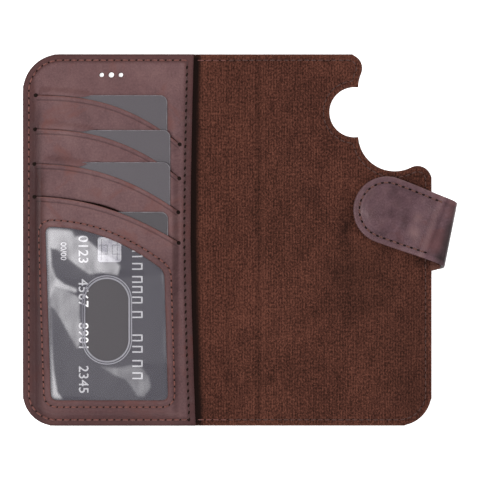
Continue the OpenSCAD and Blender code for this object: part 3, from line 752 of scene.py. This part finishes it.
# weld the bands outside the slits
key = {}
remap = np.arange(len(PV))
for i, (x, y, z) in enumerate(PV):
    kx = (round(x, 2), round(y, 2))
    if (x <= SA + 0.05 or x >= SB - 0.05) and kx in key:
        remap[i] = key[kx]
    else:
        key.setdefault(kx, i)
used = np.unique(remap)
inv = -np.ones(len(PV), int)
inv[used] = np.arange(len(used))
PQ = [tuple(inv[remap[i]] for i in f) for f in PQ]
PQ = [f for f in PQ if len(set(f)) == 4]
PV, PW, PT = PV[used], PW[used], PT[used]
vv, ff, mi = thicken(PV, PQ, np.c_[np.zeros(len(PV)), np.zeros(len(PV)), np.full(len(PV), 0.62)], 0, 1, 0)
M_pocket_edge = leather("pocket_edge", srgb(110, 66, 58, K), srgb(142, 92, 82, K), srgb(168, 120, 108, K), rough=0.65)
pocket = make("pocket_leather", vv, ff, [M_pocket, M_pocket_edge], True, mi, np.r_[PW, PW], tone=np.r_[PT, PT])
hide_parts("pocket_panel")
blend_front(pocket)

# painted shade: a near-black strip on the third card under the lowest slit, standing in for the shade inside the open
# pocket
xs_ = np.linspace(-84.5, -36.0, 60)
rows_ = np.linspace(0, 1, 9)
BV = np.array([[(a, slit(3, np.array(a)) - 2.6 + 4.6 * f) for a in xs_] for f in rows_]).reshape(-1, 2).astype(float)
BQ = [(j * 60 + i, j * 60 + i + 1, (j + 1) * 60 + i + 1, (j + 1) * 60 + i) for j in range(8) for i in range(59)]
bz = card_z(2, BV[:, 1]) + 0.76 + 0.10
vv, ff, mi = thicken(np.c_[BV, bz], BQ, np.c_[0 * bz, 0 * bz, 0 * bz + 0.08])
back = make("pocket_back_shade", vv, ff, plain("pocket_back_shade", srgb(30, 17, 13, K), srgb(44, 26, 20, K), 900, 0.95, 0.3, uv=True, spec=0.1))
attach(back, "front_cover")

# ------------------------------------------------------------------ window film with its thumb hole
tx, ty, tr = -58.2, (-26.4, -43.5), 9.4
stadium = np.vstack([arc((tx, ty[0]), tr, 0, 180, 24), arc((tx, ty[1]), tr, 180, 360, 24)])
V, q = grid(np.linspace(-86.4, -30.3, 113), np.linspace(-73.0, 9.2, 165))
lim = np.vstack([np.c_[np.linspace(-86.4, -30.3, 30), win_y(np.linspace(-86.4, -30.3, 30)) + 3.4], [[-30.3, -73.0], [-83.9, -73.0], [-86.4, -70.8]]])
V, q, _ = carve(V, q, [lim, stadium], [True, False])
x, y = V.T
dwin, _ = seg_near(V, WIN, np.roll(WIN, -1, 0))
inwin = inside(V, WIN)
dth, _ = seg_near(V, stadium, np.roll(stadium, -1, 0))
# slow swells in the film: it climbs to the right inside these outlines and settles again beyond them
SWELL = [
    [(-84.0, 5.6), (-73.8, 4.9), (-72.0, 1.4), (-68.8, 1.9), (-64.4, -1.9), (-60.6, -5.4), (-55, -8.4), (-52.4, -11.6), (-53.4, -15.4),
     (-60.6, -14.2), (-65.6, -15.0), (-70.4, -11.8), (-75.6, -7.6), (-80.0, -4.0), (-82.0, -3.8), (-83.6, -2.2)],
    [(-85.4, 5.4), (-83.4, 5.2), (-82.8, -4), (-82.2, -11.6), (-80.4, -16.4), (-76.8, -19.2), (-71.2, -21.4), (-71.6, -23.0), (-81.0, -20.4),
     (-83.0, -25.4), (-83.4, -33), (-82.4, -47.6), (-81.6, -57), (-80.0, -66.6), (-77.4, -70), (-80.4, -70.1), (-83.2, -68.2), (-85.6, -40), (-85.6, -10)],
    [(-82.6, -20.2), (-76.4, -21.8), (-70.2, -25.2), (-70.2, -32.6), (-69.0, -41.4), (-71.0, -47.6), (-74.6, -41.4), (-78.4, -34.4), (-81.2, -30.0), (-83.0, -28.6)],
    [(-61.0, -55.4), (-54.8, -56.0), (-47.4, -54.6), (-43.2, -55.4), (-40.0, -59.8), (-39.0, -64.2), (-42.0, -68.6), (-45.0, -68.3), (-47.4, -64.2), (-50, -61.0), (-55.0, -59.0)],
    [(-34.2, -14.0), (-31.6, -14.2), (-30.9, -36), (-30.6, -49), (-32.0, -55.0), (-33.2, -48), (-32.8, -30)],
]
gx = np.linspace(-87, -29.5, 231)
gy = np.linspace(-74, 10, 337)
GX, GY = np.meshgrid(gx, gy)
rise = np.zeros(GX.size)
for i_, poly in enumerate(SWELL):
    poly = np.array(poly, float)
    rise += inside(np.c_[GX.ravel(), GY.ravel()], poly) * (1.05, 1.15, 0.62, 0.62, 1.0)[i_]
rise = np.clip(rise, 0, 1.4).reshape(GX.shape)


def blur(a, n, ax):
    k_ = np.hanning(2 * n + 3)[1:-1]
    k_ /= k_.sum()
    pad = [(0, 0), (0, 0)]
    pad[ax] = (n, n)
    b = np.pad(a, pad, mode="edge")
    return np.apply_along_axis(lambda r: np.convolve(r, k_, mode="valid"), ax, b)


rise = blur(blur(rise, 3, 0), 3, 1)
hgt = np.zeros_like(rise)
step = gx[1] - gx[0]
for i_ in range(1, len(gx)):
    hgt[:, i_] = hgt[:, i_ - 1] + step * (0.15 * rise[:, i_] - hgt[:, i_ - 1] / 11.0)
hgt = blur(blur(hgt, 9, 0), 5, 1)
fi = np.clip((x - gx[0]) / step, 0, len(gx) - 1.001)
fj = np.clip((y - gy[0]) / (gy[1] - gy[0]), 0, len(gy) - 1.001)
ia, ja = fi.astype(int), fj.astype(int)
u_, v_ = fi - ia, fj - ja
hh = (hgt[ja, ia] * (1 - u_) + hgt[ja, ia + 1] * u_) * (1 - v_) + (hgt[ja + 1, ia] * (1 - u_) + hgt[ja + 1, ia + 1] * u_) * v_
edge_in = np.where(inwin, smooth(dwin / 1.6), 0)
zf = card_z(3, y) + 0.76 + 0.06 + 0.16 + np.minimum(hh, 1.25) * edge_in + edge_in * 0.04 * waves(x, y, 5, 12, 6)
vv, ff, mi = thicken(np.c_[x, y, zf], q, np.c_[0 * x, 0 * x, 0 * x + 0.16])
# painted reflection: a pale glare map over the swells, a glare patch near the top-left corner and a thin glare line by
# the left edge
painted_glare_map = np.zeros(GX.size)
for i_, poly in enumerate(SWELL):
    m_ = inside(np.c_[GX.ravel(), GY.ravel()], np.array(poly, float))
    painted_glare_map = np.maximum(painted_glare_map, m_ * (0.74, 0.88, 0.50, 0.30, 0.46)[i_])
painted_glare_map = painted_glare_map.reshape(GX.shape) * (1.0 + 0.55 * waves(GX, GY, 31, 14) + 0.35 * waves(GX, GY * 0.35, 32, 4))
painted_glare_map = painted_glare_map + 0.60 * np.exp(-((GX + 81.5) / 6.0) ** 2 - ((GY - 3.5) / 4.0) ** 2) + 0.35 * np.exp(-((GX + 84.2) / 0.7) ** 2) * (GY < 2)
painted_glare_map = blur(blur(np.clip(painted_glare_map, 0, 1), 2, 0), 2, 1)
painted_glare = (painted_glare_map[ja, ia] * (1 - u_) + painted_glare_map[ja, ia + 1] * u_) * (1 - v_) + (painted_glare_map[ja + 1, ia] * (1 - u_) + painted_glare_map[ja + 1, ia + 1] * u_) * v_
painted_glare = painted_glare * edge_in
film_ob = make("window_film", vv, ff, M_film, True, None, np.r_[painted_glare, painted_glare])
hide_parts("id_window")
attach(film_ob, "front_cover")


def tube(path, r, sides=8, closed=False, up=None, flat=1.0, taper=None):
    """Tube along path (n,3); flat squashes it towards the surface."""
    P = np.asarray(path, float)
    n = len(P)
    T = (np.roll(P, -1, 0) - np.roll(P, 1, 0)) if closed else np.gradient(P, axis=0)
    T /= np.linalg.norm(T, axis=1)[:, None]
    U = np.tile([0, 0, 1.0], (n, 1)) if up is None else np.asarray(up, float)
    S = np.cross(T, U)
    S /= np.linalg.norm(S, axis=1)[:, None]
    N = np.cross(S, T)
    a = np.linspace(0, 2 * math.pi, sides, endpoint=False)
    rr = np.full(n, r) if taper is None else r * taper
    ring = P[:, None, :] + rr[:, None, None] * (np.cos(a)[None, :, None] * S[:, None, :] + flat * np.sin(a)[None, :, None] * N[:, None, :])
    V = ring.reshape(-1, 3)
    F = []
    m = n if closed else n - 1
    for i in range(m):
        j = (i + 1) % n
        for s in range(sides):
            t = (s + 1) % sides
            F.append((i * sides + s, i * sides + t, j * sides + t, j * sides + s))
    if not closed:
        F.append(tuple(range(sides)))
        F.append(tuple((n - 1) * sides + s for s in reversed(range(sides))))
    return V, F


def join(parts):
    V, F, M, b = [], [], [], 0
    for p in parts:
        v, f = p[0], p[1]
        V.append(v)
        F += [tuple(i + b for i in q) for q in f]
        M += [p[2] if len(p) > 2 else 0] * len(f)
        b += len(v)
    return np.vstack(V), F, M


def loop_at(poly, zfun):
    return np.c_[poly, zfun(poly[:, 0], poly[:, 1])]


film_z = lambda x, y: card_z(3, y) + 0.76 + 0.24
rims = []
for off, r, up_ in ((0.35, 0.42, 0.10), (1.35, 0.30, 0.04)):
    st = np.vstack([arc((tx, ty[0]), tr + off, 0, 180, 30), arc((tx, ty[1]), tr + off, 180, 360, 30)])
    rims.append(tube(np.c_[st, film_z(*st.T) + up_ + 0.12], r, 8, True, flat=0.75))
V, F, _ = join(rims)
rim = make("thumb_rim", V, F, M_rim)
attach(rim, "front_cover")

# ------------------------------------------------------------------ cards
def round_rect(xa, xb_, ya, yb_, r, n=10):
    return np.vstack([arc((xb_ - r, yb_ - r), r, 0, 90, n), arc((xa + r, yb_ - r), r, 90, 180, n), arc((xa + r, ya + r), r, 180, 270, n), arc((xb_ - r, ya + r), r, 270, 360, n)])


def card_mesh(name, k):
    a = math.atan(cs[k])
    out = round_rect(c_right[k] - 53.98, c_right[k], c_top[k] - 85.6, c_top[k], 3.18)
    c = out.mean(0)
    rings = [(0.0, 0.14), (0.0, 0.62), (0.10, 0.72), (0.26, 0.76)]
    V = []
    lows = [(0.26, 0.0), (0.10, 0.04)]
    for ins, z in lows + rings:
        P = round_rect(c_right[k] - 53.98 + ins, c_right[k] - ins, c_top[k] - 85.6 + ins, c_top[k] - ins, 3.18 - ins)
        V.append(np.c_[P[:, 0], cy0[k] + (P[:, 1] - cy0[k]) * math.cos(a) - z * math.sin(a), cz0[k] + (P[:, 1] - cy0[k]) * math.sin(a) + z * math.cos(a)])
    n = len(out)
    F, M = [], []
    for r in range(len(V) - 1):
        for i in range(n):
            j = (i + 1) % n
            F.append((r * n + i, r * n + j, (r + 1) * n + j, (r + 1) * n + i))
            M.append(1)
    F.append(tuple(reversed(range(n))))
    M.append(0)
    F.append(tuple((len(V) - 1) * n + i for i in range(n)))
    M.append(0)
    ob = make(name + "_face", np.vstack(V), F, [M_card_shaded if k == 3 else M_card, M_card_edge], False, M)
    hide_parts(name)
    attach(ob, name)
    return ob


for k, n_ in enumerate(["card_1", "card_2", "card_3", "id_card"]):
    card_mesh(n_, k)


def on_card(P, up_):
    """Points (x, y) of the lowest card's face, lifted by up_."""
    a = math.atan(cs[3])
    P = np.asarray(P, float)
    z = 0.76 + np.asarray(up_, float)
    return np.c_[P[:, 0], cy0[3] + (P[:, 1] - cy0[3]) * math.cos(a) - z * math.sin(a), cz0[3] + (P[:, 1] - cy0[3]) * math.sin(a) + z * math.cos(a)]


def pxX(p):
    return (p - 240.35) / 2.28


def pxY(p):
    return (240 - p) / 2.28


def text_mesh(body, size, origin, name, depth=0.2, spacing=1.0, mat=None):
    """Digits reading downwards, as shallow raised mesh on the card."""
    cu = bpy.data.curves.new(name, "FONT")
    cu.body = body
    cu.size = size
    cu.space_character = spacing
    cu.extrude = depth
    cu.bevel_depth = 0.05
    cu.resolution_u = 3
    tmp = bpy.data.objects.new(name + "_t", cu)
    scene.collection.objects.link(tmp)
    me = bpy.data.meshes.new_from_object(tmp.evaluated_get(bpy.context.evaluated_depsgraph_get()))
    bpy.data.objects.remove(tmp)
    bpy.data.curves.remove(cu)
    n = len(me.vertices)
    co = np.empty(n * 3)
    me.vertices.foreach_get("co", co)
    co = co.reshape(-1, 3)
    F = [tuple(p.vertices) for p in me.polygons]
    bpy.data.meshes.remove(me)
    # text x runs down the case (-Y), text y towards +X
    P = np.c_[origin[0] + co[:, 1], origin[1] - co[:, 0]]
    V = on_card(P, co[:, 2] * 0.12 + 0.0)
    return V, F


def slab_on_card(xa, xb_, ya, yb_, r, h0, h1, n=5):
    P = round_rect(xa, xb_, ya, yb_, r, n)
    lo, mid = on_card(P, h0), on_card(P, h1 * 0.7)
    inner = round_rect(xa + 0.1, xb_ - 0.1, ya + 0.1, yb_ - 0.1, max(r - 0.1, 0.02), n)
    hi = on_card(inner, h1)
    m = len(P)
    V = np.vstack([lo, mid, hi])
    F = [(s * m + i, s * m + (i + 1) % m, (s + 1) * m + (i + 1) % m, (s + 1) * m + i) for s in (0, 1) for i in range(m)]
    F.append(tuple(2 * m + i for i in range(m)))
    return V, F


digits = []
for g, word in enumerate(("0123", "4567", "8901", "2345")):
    digits.append(text_mesh(word, 6.0, (-70.5, pxY((235.4, 278.8, 322.2, 365.2)[g])), f"num{g}", spacing=1.04))
digits.append(text_mesh("00/00", 3.5, (-78.3, pxY(242)), "date", spacing=1.0))
V, F, _ = join(digits)
dg = make("card_digits", V, F, M_print, False)
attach(dg, "id_card")
bars = []
# a plain row of bars where the card carries its title
for yb_ in (-6.0, -11.5, -17.2, -21.6, -26.2, -32.6, -42.8, -47.8, -54.0, -59.4):
    bars.append(slab_on_card(-47.2, -42.6, yb_ - 1.5, yb_ - 0.9, 0.2, 0.0, 0.03))
    bars.append(slab_on_card(-47.2, -42.6, yb_ + 0.9, yb_ + 1.5, 0.2, 0.0, 0.03))
    bars.append(slab_on_card(-43.3, -42.6, yb_ - 1.5, yb_ + 1.5, 0.2, 0.0, 0.03))
V, F, _ = join(bars)
br = make("card_bars", V, F, M_print, False)
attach(br, "id_card")
chip_parts = [slab_on_card(pxX(98.6), pxX(122), pxY(262), pxY(237), 1.2, 0.0, 0.05)]
V, F, _ = join(chip_parts)
ch = make("card_chip", V, F, M_chip, False)
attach(ch, "id_card")
lines = []
for a_, b_ in (((102.5, 239), (102.5, 260)), ((118, 239), (118, 260)), ((100, 245), (108, 245)), ((100, 254), (108, 254)), ((113, 245), (120.5, 245)), ((113, 254), (120.5, 254)), ((108, 245), (108, 254)), ((113, 245), (113, 254))):
    P = np.array([(pxX(a_[0]), pxY(a_[1])), (pxX(b_[0]), pxY(b_[1]))])
    lines.append(tube(on_card(P, 0.055), 0.09, 6))
V, F, _ = join(lines)
cl = make("chip_lines", V, F, M_print_dark, False)
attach(cl, "id_card")

# ------------------------------------------------------------------ stitches
def resample(P, pitch, closed=False, phase=0.5):
    P = np.asarray(P, float)
    if closed:
        P = np.vstack([P, P[:1]])
    s = np.r_[0, np.cumsum(np.linalg.norm(np.diff(P, axis=0), axis=1))]
    L = s[-1]
    n = max(1, int(round(L / pitch)))
    u = (np.arange(n) + phase) * L / n
    f = lambda v: np.stack([np.interp(v, s, P[:, i]) for i in range(P.shape[1])], 1)
    e = L / n
    return f(u), f(u - e / 2 if not closed else (u - e / 2) % L), f((u + e / 2) if not closed else (u + e / 2) % L), e


def stitch_parts(path, zfun, pitch, r=0.31, sign=1, closed=False, high=0.26, slant=0.0, hole=0.5, rng=None, gap=0.42, keep=None, tilt=0.35, hz=0.0):
    """Threads between needle holes along a flat path; sign -1 for the underside."""
    mids, A, B, e = resample(path, pitch, closed)
    thr, hol = [], []
    rng = rng or np.random.default_rng(4)
    for c, a, b in zip(mids, A, B):
        if keep is not None and not keep(c):
            continue
        t = b - a
        L = np.linalg.norm(t)
        if L < 0.3:
            continue
        t = t / L
        nrm = np.array([-t[1], t[0]])
        sl = slant + rng.normal(0, 0.03)
        u = np.linspace(-1, 1, 7)
        half = L / 2 - gap * 0.5
        xy = c + u[:, None] * half * t + (u * sl)[:, None] * nrm
        lift = high * (1 - u ** 4) - 0.30 * np.abs(u) ** 6
        z = zfun(xy[:, 0], xy[:, 1]) + sign * lift
        P = np.c_[xy, z]
        thr.append(tube(P, r * rng.uniform(0.93, 1.07), 7, up=np.tile([0, 0, float(sign)], (7, 1)), flat=0.72, taper=np.array([.55, .85, 1, 1, 1, .85, .55])))
        # needle hole at the start of each stitch, its inside in painted shade
        h = b
        k = 9
        an = np.linspace(0, 2 * math.pi, k, endpoint=False)
        ca, sa = math.cos(tilt), math.sin(tilt)
        ax = np.array([t[0] * ca - t[1] * sa, t[0] * sa + t[1] * ca])
        bx = np.array([-ax[1], ax[0]])
        ring = lambda q: h + np.cos(an)[:, None] * ax * hole * q * 1.15 + np.sin(an)[:, None] * bx * hole * q * 0.62
        zz = zfun(np.array([h[0]]), np.array([h[1]]))[0]
        o, m_, i_ = ring(1.15), ring(1.0), ring(0.55)
        V = np.vstack([np.c_[o, np.full(k, zz + sign * (hz - 0.10))], np.c_[m_, np.full(k, zz + sign * (hz + 0.085))], np.c_[i_, np.full(k, zz + sign * (hz + 0.035))]])
        F = [(s_ * k + q, s_ * k + (q + 1) % k, (s_ + 1) * k + (q + 1) % k, (s_ + 1) * k + q) for s_ in (0, 1) for q in range(k)] + [tuple(2 * k + q for q in range(k))]
        if sign < 0:
            F = [tuple(reversed(f)) for f in F]
        hol.append((V, F))
    return thr, hol


def seam(name, paths, mat, body=None, blend=None, replaces=()):
    parts = []
    for thr, hol in paths:
        parts += [(v, f, 0) for v, f in thr] + [(v, f, 1) for v, f in hol]
    V, F, M = join(parts)
    ob = make(name, V, F, [mat, M_hole_shade], True, M)
    if replaces:
        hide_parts(*replaces)
    if blend:
        blend(ob)
    else:
        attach(ob, body)
    return ob


panel_surface = lambda x, y: np.full_like(x, Z_IN + 0.7) - 0.14
suede_surface = lambda x, y: np.full_like(x, Z_IN) - 0.09
hide_surface = lambda x, y: np.full_like(x, 0.03)

# inside, round the pocket panel
fe = front_edge(2.7, panel_edge(H) - 2.7, 30)
left_seam = fe
ys = np.linspace(H - 2.7, -H + 2.7, 40)
right_seam = np.c_[panel_edge(ys) - 2.75, ys]
a1 = stitch_parts(left_seam, panel_surface, 3.22, 0.38, high=0.24, hole=0.46, hz=0.05, gap=0.5)
a2 = stitch_parts(right_seam, panel_surface, 3.16, 0.24, high=0.12, slant=-0.06, hole=0.64, tilt=-0.35, hz=0.13, gap=1.0)
seam("stitch_pocket", [a1], M_thread, "front_cover", None, ("front_thread",))
seam("stitch_pocket_right", [a2], M_thread_dark, "front_cover", None)

# round the window
wv = WIN.copy()
cen = WIN.mean(0)
tang = np.roll(WIN, -3, 0) - np.roll(WIN, 3, 0)
nr = np.c_[-tang[:, 1], tang[:, 0]]
nr /= np.linalg.norm(nr, axis=1)[:, None]
sg = np.sign(((WIN + nr) - cen) @ np.ones(2) * 0 + np.einsum("ij,ij->i", nr, WIN - cen))
nr *= sg[:, None]
wseam = WIN + nr * 2.9
wsurf = lambda x, y: under(3, x, y) + 0.7 - 0.10
seam("stitch_window", [stitch_parts(wseam, wsurf, 2.9, 0.38, closed=True, high=0.22, hole=0.46, hz=0.07, gap=0.5)], M_thread, "front_cover", None, ("window_thread",))

# outside face and suede side of the spine and the back cover
fo = front_edge(2.7, XM - 0.1, 30)
o1 = stitch_parts(fo, hide_surface, 3.27, 0.28, sign=-1, high=0.10, hole=0.48)
top_run = np.array([[panel_edge(H) + 1.6, H - 2.7], [XM - 0.2, H - 2.7]])
bot_run = top_run * [1, -1]
i1 = stitch_parts(top_run, suede_surface, 3.2, 0.24, high=0.2, hole=0.42)
i2 = stitch_parts(bot_run, suede_surface, 3.2, 0.24, high=0.2, hole=0.42)
seam("stitch_left", [o1, i1, i2], M_thread, None, blend_front, ("spine_thread",))
bo = back_edge(2.7, XM + 0.1, 30)
o2 = stitch_parts(bo, hide_surface, 3.27, 0.28, sign=-1, high=0.10, hole=0.48)
i3 = stitch_parts(bo, suede_surface, 3.0, 0.24, high=0.13, hole=0.34)
seam("stitch_right", [o2, i3], M_thread_in, None, blend_back, ("back_thread",))

# punched ends of the slits, their insides in painted shade
ends = []
for k in range(4):
    for ex, ey in (slit_l[k], slit_r[k]):
        n = 16
        an = np.linspace(0, 2 * math.pi, n, endpoint=False)
        V = []
        for rr, dz in ((0.92, -0.12), (0.82, 0.15), (0.68, 0.11), (0.46, 0.07)):
            px_, py_ = ex + rr * np.cos(an), ey + rr * np.sin(an)
            V.append(np.c_[px_, py_, np.maximum(under(k, px_, py_), under(k - 1, px_, py_)) + 0.7 + dz])
        F = [(s_ * n + q, s_ * n + (q + 1) % n, (s_ + 1) * n + (q + 1) % n, (s_ + 1) * n + q) for s_ in range(3) for q in range(n)] + [tuple(3 * n + q for q in range(n))]
        ends.append((np.vstack(V), F))
V, F, _ = join(ends)
se = make("slit_ends", V, F, M_hole_shade)
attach(se, "front_cover")

# ------------------------------------------------------------------ strap: one band, in four pieces that share their ends
AL = math.radians(11.3)
N2 = np.array([math.cos(AL), -math.sin(AL)])
U2 = np.array([math.sin(AL), math.cos(AL)])
E2 = np.array([math.sin(2 * AL), math.cos(2 * AL)])
J = np.array([91.2, 1.5])
WH, HT, TIP = 14.7, 1.1, 29.14
tt = WH * np.sin(np.linspace(-math.pi / 2, math.pi / 2, 33))


def half_t(delta):
    return 0.74 + 0.36 * np.sqrt(np.clip(1 - (1 - np.clip(delta / 0.9, 0, 1)) ** 2, 0, 1))


def boss(sig, t):
    r = np.hypot(sig - 31.4, t)
    return 0.75 * smooth((10.0 - r) / 3.6) + 0.12 * smooth((6.8 - r) / 6)


SK = math.radians(20.4)
DU = np.array([-math.cos(SK), math.sin(SK)])
EU = np.array([math.sin(SK), math.cos(SK)])
JU = np.array([91.5, 2.95])


def lower(s, t):
    """Centre and outward normal (towards the outer leather) of the lower strap."""
    f = smooth((s + 8.5) / 7.0)
    P = np.c_[J[0] + s, J[1] - 0.3 + 0.55 * f + t * (1.012 - 0.05 * f), np.full_like(s, 1.6)]
    return P, np.tile([0, 0, -1.0], (len(s), 1))


def start_low(t):
    """Where the lower strap meets the turn, as a distance along it."""
    s = np.full_like(t, -1.65)
    for _ in range(12):
        P, _n = lower(s, t)
        q = (P[:, :2] - J) @ N2
        s = s + (-1.65 - q) / N2[0]
    return s


def narrow(sig):
    return 1 - 0.040 * smooth((27 - sig) / 25)


def start_up(t):
    s = np.full_like(t, 1.65)
    for _ in range(12):
        q = (JU + s[:, None] * DU + (t * narrow(s))[:, None] * EU - J) @ N2
        s = s + (-1.65 - q) / (DU @ N2)
    return s


def bend_pt(phi, t):
    a = lower(start_low(t), t)[0][:, :2]
    sb = start_up(t)
    b = JU + sb[:, None] * DU + (t * narrow(sb))[:, None] * EU
    rA, rB = (a - J) @ U2, (b - J) @ U2
    r = rA + (rB - rA) * phi / math.pi
    q = -1.65 + 1.65 * np.sin(phi)
    xy = J + q[:, None] * N2 + r[:, None] * U2
    nn = np.sin(phi)[:, None] * np.r_[N2, 0] + (-np.cos(phi))[:, None] * np.array([0, 0, 1.0])
    return np.c_[xy, 3.25 - 1.65 * np.cos(phi)], nn


def arch(sig):
    """The doubled leather springs up a little beside its fold and sinks before the magnet."""
    return 0.75 * np.exp(-((sig - 7.0) / 4.6) ** 2) * smooth((sig - 1.0) / 4.5) - 0.22 * np.exp(-((sig - 18.5) / 3.6) ** 2)


def upper(sig, t):
    xy = JU + sig[:, None] * DU + (t * narrow(sig))[:, None] * EU
    return np.c_[xy, 4.9 + arch(sig)], np.tile([0, 0, 1.0], (len(sig), 1))


def strap_piece(name, stations, close_start, close_end):
    """stations: list of functions t-array -> (centres, normals, edge distance, bulge)"""
    outer, inner, wear = [], [], []
    for fn in stations:
        P, nn, dl, bo_ = fn(tt)
        h = half_t(dl)
        outer.append(P + nn * (h + bo_)[:, None])
        inner.append(P - nn * (h + bo_ * 0.8)[:, None])
        sg, tg = (P[:, :2] - JU) @ DU, (P[:, :2] - JU) @ EU
        w = 0.50 * np.exp(-(dl / 0.7) ** 2) + 0.22 * np.exp(-((dl - 1.4) / 0.6) ** 2) - 0.28 * np.exp(-((dl - 2.7) / 0.6) ** 2)
        rr = np.hypot(sg - 31.4, tg)
        # a painted shade line in the groove inside the stitches towards the tip, with a painted highlight beside it
        w = w - 0.26 * np.exp(-((dl - 4.4) / 0.45) ** 2) * smooth((sg - 22) / 6) + 0.16 * np.exp(-((dl - 5.2) / 0.5) ** 2) * smooth((sg - 24) / 6)
        mott = waves(P[:, 0], P[:, 1], 21, 9) + 0.6 * waves(P[:, 0], P[:, 1], 22, 4)
        if name in ("strap_flap", "strap_upper"):
            # painted shade where the flap turns down into its fold; a painted highlight band with painted shade lines
            # either side; a pale painted highlight patch and a painted shade band before the magnet; a painted
            # highlight round the tip side of the magnet's bulge
            w = w - 1.0 * (1 - smooth((sg + 0.2) / 4.2)) + 0.55 * np.exp(-((sg - 8.2) / 1.3) ** 2) - 0.34 * np.exp(-((sg - 5.9) / 0.8) ** 2) - 0.22 * np.exp(-((sg - 10.6) / 0.9) ** 2)
            w = w + 0.62 * np.exp(-((sg - 14.6) / 3.4) ** 2 - ((tg + 3.0) / 6.0) ** 2) * (1 + mott) - 0.26 * np.exp(-((sg - 20.5) / 3.0) ** 2 - ((tg + 2) / 7.0) ** 2)
            w = w + 0.06 * smooth((9.5 - rr) / 4) + 0.42 * np.exp(-((rr - 9.5) / 1.2) ** 2) * smooth((sg - 33) / 6)
            w = w + 0.30 * mott * smooth((dl - 2) / 3)
        wear.append(w)
    n = len(tt)
    m = len(stations)
    V = np.vstack(outer + inner)
    F, M = [], []
    for j in range(m - 1):
        for i in range(n - 1):
            a, b, c, d = j * n + i, j * n + i + 1, (j + 1) * n + i + 1, (j + 1) * n + i
            F.append((a, d, c, b)); M.append(0)
            o = m * n
            F.append((a + o, b + o, c + o, d + o)); M.append(1)
        for i in (0, n - 1):
            a, d = j * n + i, (j + 1) * n + i
            o = m * n
            F.append((a, a + o, d + o, d) if i == 0 else (d, d + o, a + o, a)); M.append(2)
    for j, do in ((0, close_start), (m - 1, close_end)):
        if do:
            for i in range(n - 1):
                a, b = j * n + i, j * n + i + 1
                o = m * n
                F.append((a, b, b + o, a + o) if j == 0 else (b, a, a + o, b + o)); M.append(2)
    W = np.concatenate(wear + wear)
    ob = make(name, V, F, [M_strap, M_suede_strap, M_paint], True, M, W)
    return ob


z0_ = lambda t: np.zeros_like(t)
side_d = lambda t: WH - np.abs(t)


def st_lower(x):
    return lambda t: (*lower(np.full_like(t, x - J[0]), t), side_d(t), z0_(t))


def st_lower_f(f, xa):
    # from the straight line x = xa to the start of the turn
    def fn(t):
        sA = start_low(t)
        s = (xa - J[0]) + (sA - (xa - J[0])) * f
        return (*lower(s, t), side_d(t), z0_(t))
    return fn


def st_bend(phi):
    return lambda t: (*bend_pt(np.full_like(t, phi), t), side_d(t), z0_(t))


def st_upper_f(f, sb):
    def fn(t):
        sB = start_up(t)
        s = sB + (sb - sB) * f
        return (*upper(s, t), side_d(t), boss(s, t))
    return fn


def st_tip(f, sa):
    def fn(t):
        end = TIP + np.sqrt(np.maximum(WH**2 - t * t, 0))
        s = sa + (end - sa) * f
        over = np.maximum(s - TIP, 0)
        dl = np.where(s > TIP, WH - np.hypot(over, t), WH - np.abs(t))
        return (*upper(s, t), np.maximum(dl, 0), boss(s, t))
    return fn


p1 = strap_piece("strap_root", [st_lower(x) for x in np.linspace(74.5, 87.8, 18)], True, False)
p2 = strap_piece("strap_lower", [st_lower_f(f, 87.8) for f in np.linspace(0, 1, 4)] + [st_bend(a) for a in np.linspace(0, math.pi / 2, 8)[1:]], False, False)
p3 = strap_piece("strap_upper", [st_bend(a) for a in np.linspace(math.pi / 2, math.pi, 8)] + [st_upper_f(f, 6.0) for f in np.linspace(0, 1, 5)[1:]], False, False)
fl = np.linspace(0, 1, 46)
fl = 1 - (1 - fl) ** 1.35
p4 = strap_piece("strap_flap", [st_tip(f, 6.0) for f in fl], False, True)
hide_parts("strap_tongue")
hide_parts("strap_base_link")
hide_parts("strap_bend_link")
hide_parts("strap_neck_link", "tab_leather", "tab_facing")


def bl1(o):
    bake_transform(o)


def bl2(o):
    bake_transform(o)


def bl3(o):
    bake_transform(o)


def bl4(o):
    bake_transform(o)


bl1(p1); bl2(p2); bl3(p3); bl4(p4)

# strap seam, on the leather side (up) and on the facing (down)
e_ = 2.7
path = []
for sg_ in (1,):
    a = [(s, WH - e_) for s in np.linspace(7.0, TIP, 30)]
    c = [(TIP + (WH - e_) * math.sin(th), (WH - e_) * math.cos(th)) for th in np.linspace(0, math.pi, 40)]
    b = [(s, -(WH - e_)) for s in np.linspace(TIP, 7.0, 30)]
    path = np.array(a + c[1:-1] + b)
xy = JU + path[:, :1] * DU + (path[:, 1:] * narrow(path[:, :1])) * EU


def sig_t(x, y):
    p = np.c_[x, y] - JU
    return p @ DU, (p @ EU) / narrow(p @ DU)


def tab_top(x, y):
    s, t = sig_t(x, y)
    return 4.9 + arch(s) + 1.1 + boss(s, t) - 0.06


def tab_low(x, y):
    s, t = sig_t(x, y)
    return 4.9 + arch(s) - 1.1 - 0.8 * boss(s, t) + 0.04


seam("stitch_strap", [stitch_parts(xy, tab_top, 3.2, 0.40, high=0.20, hole=0.60, hz=0.12, gap=0.95, tilt=0.12), stitch_parts(xy, tab_low, 3.2, 0.26, sign=-1, high=0.1, hole=0.42)], M_thread_tab, None, bl4, ("neck_thread", "tab_thread"))

# ------------------------------------------------------------------ materials of the solid parts that stay
CADM = {"board": M_paint, "steel": M_steel, "liner": M_liner}
for nm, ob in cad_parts.items():
    if ob.type != "MESH":
        continue
    m = M_paint
    if nm in ("shell_magnets", "clasp_plate", "tab_magnet"):
        m = M_steel
    elif nm.startswith("pocket_liner"):
        m = M_liner
    for sl in ob.material_slots:
        sl.material = m
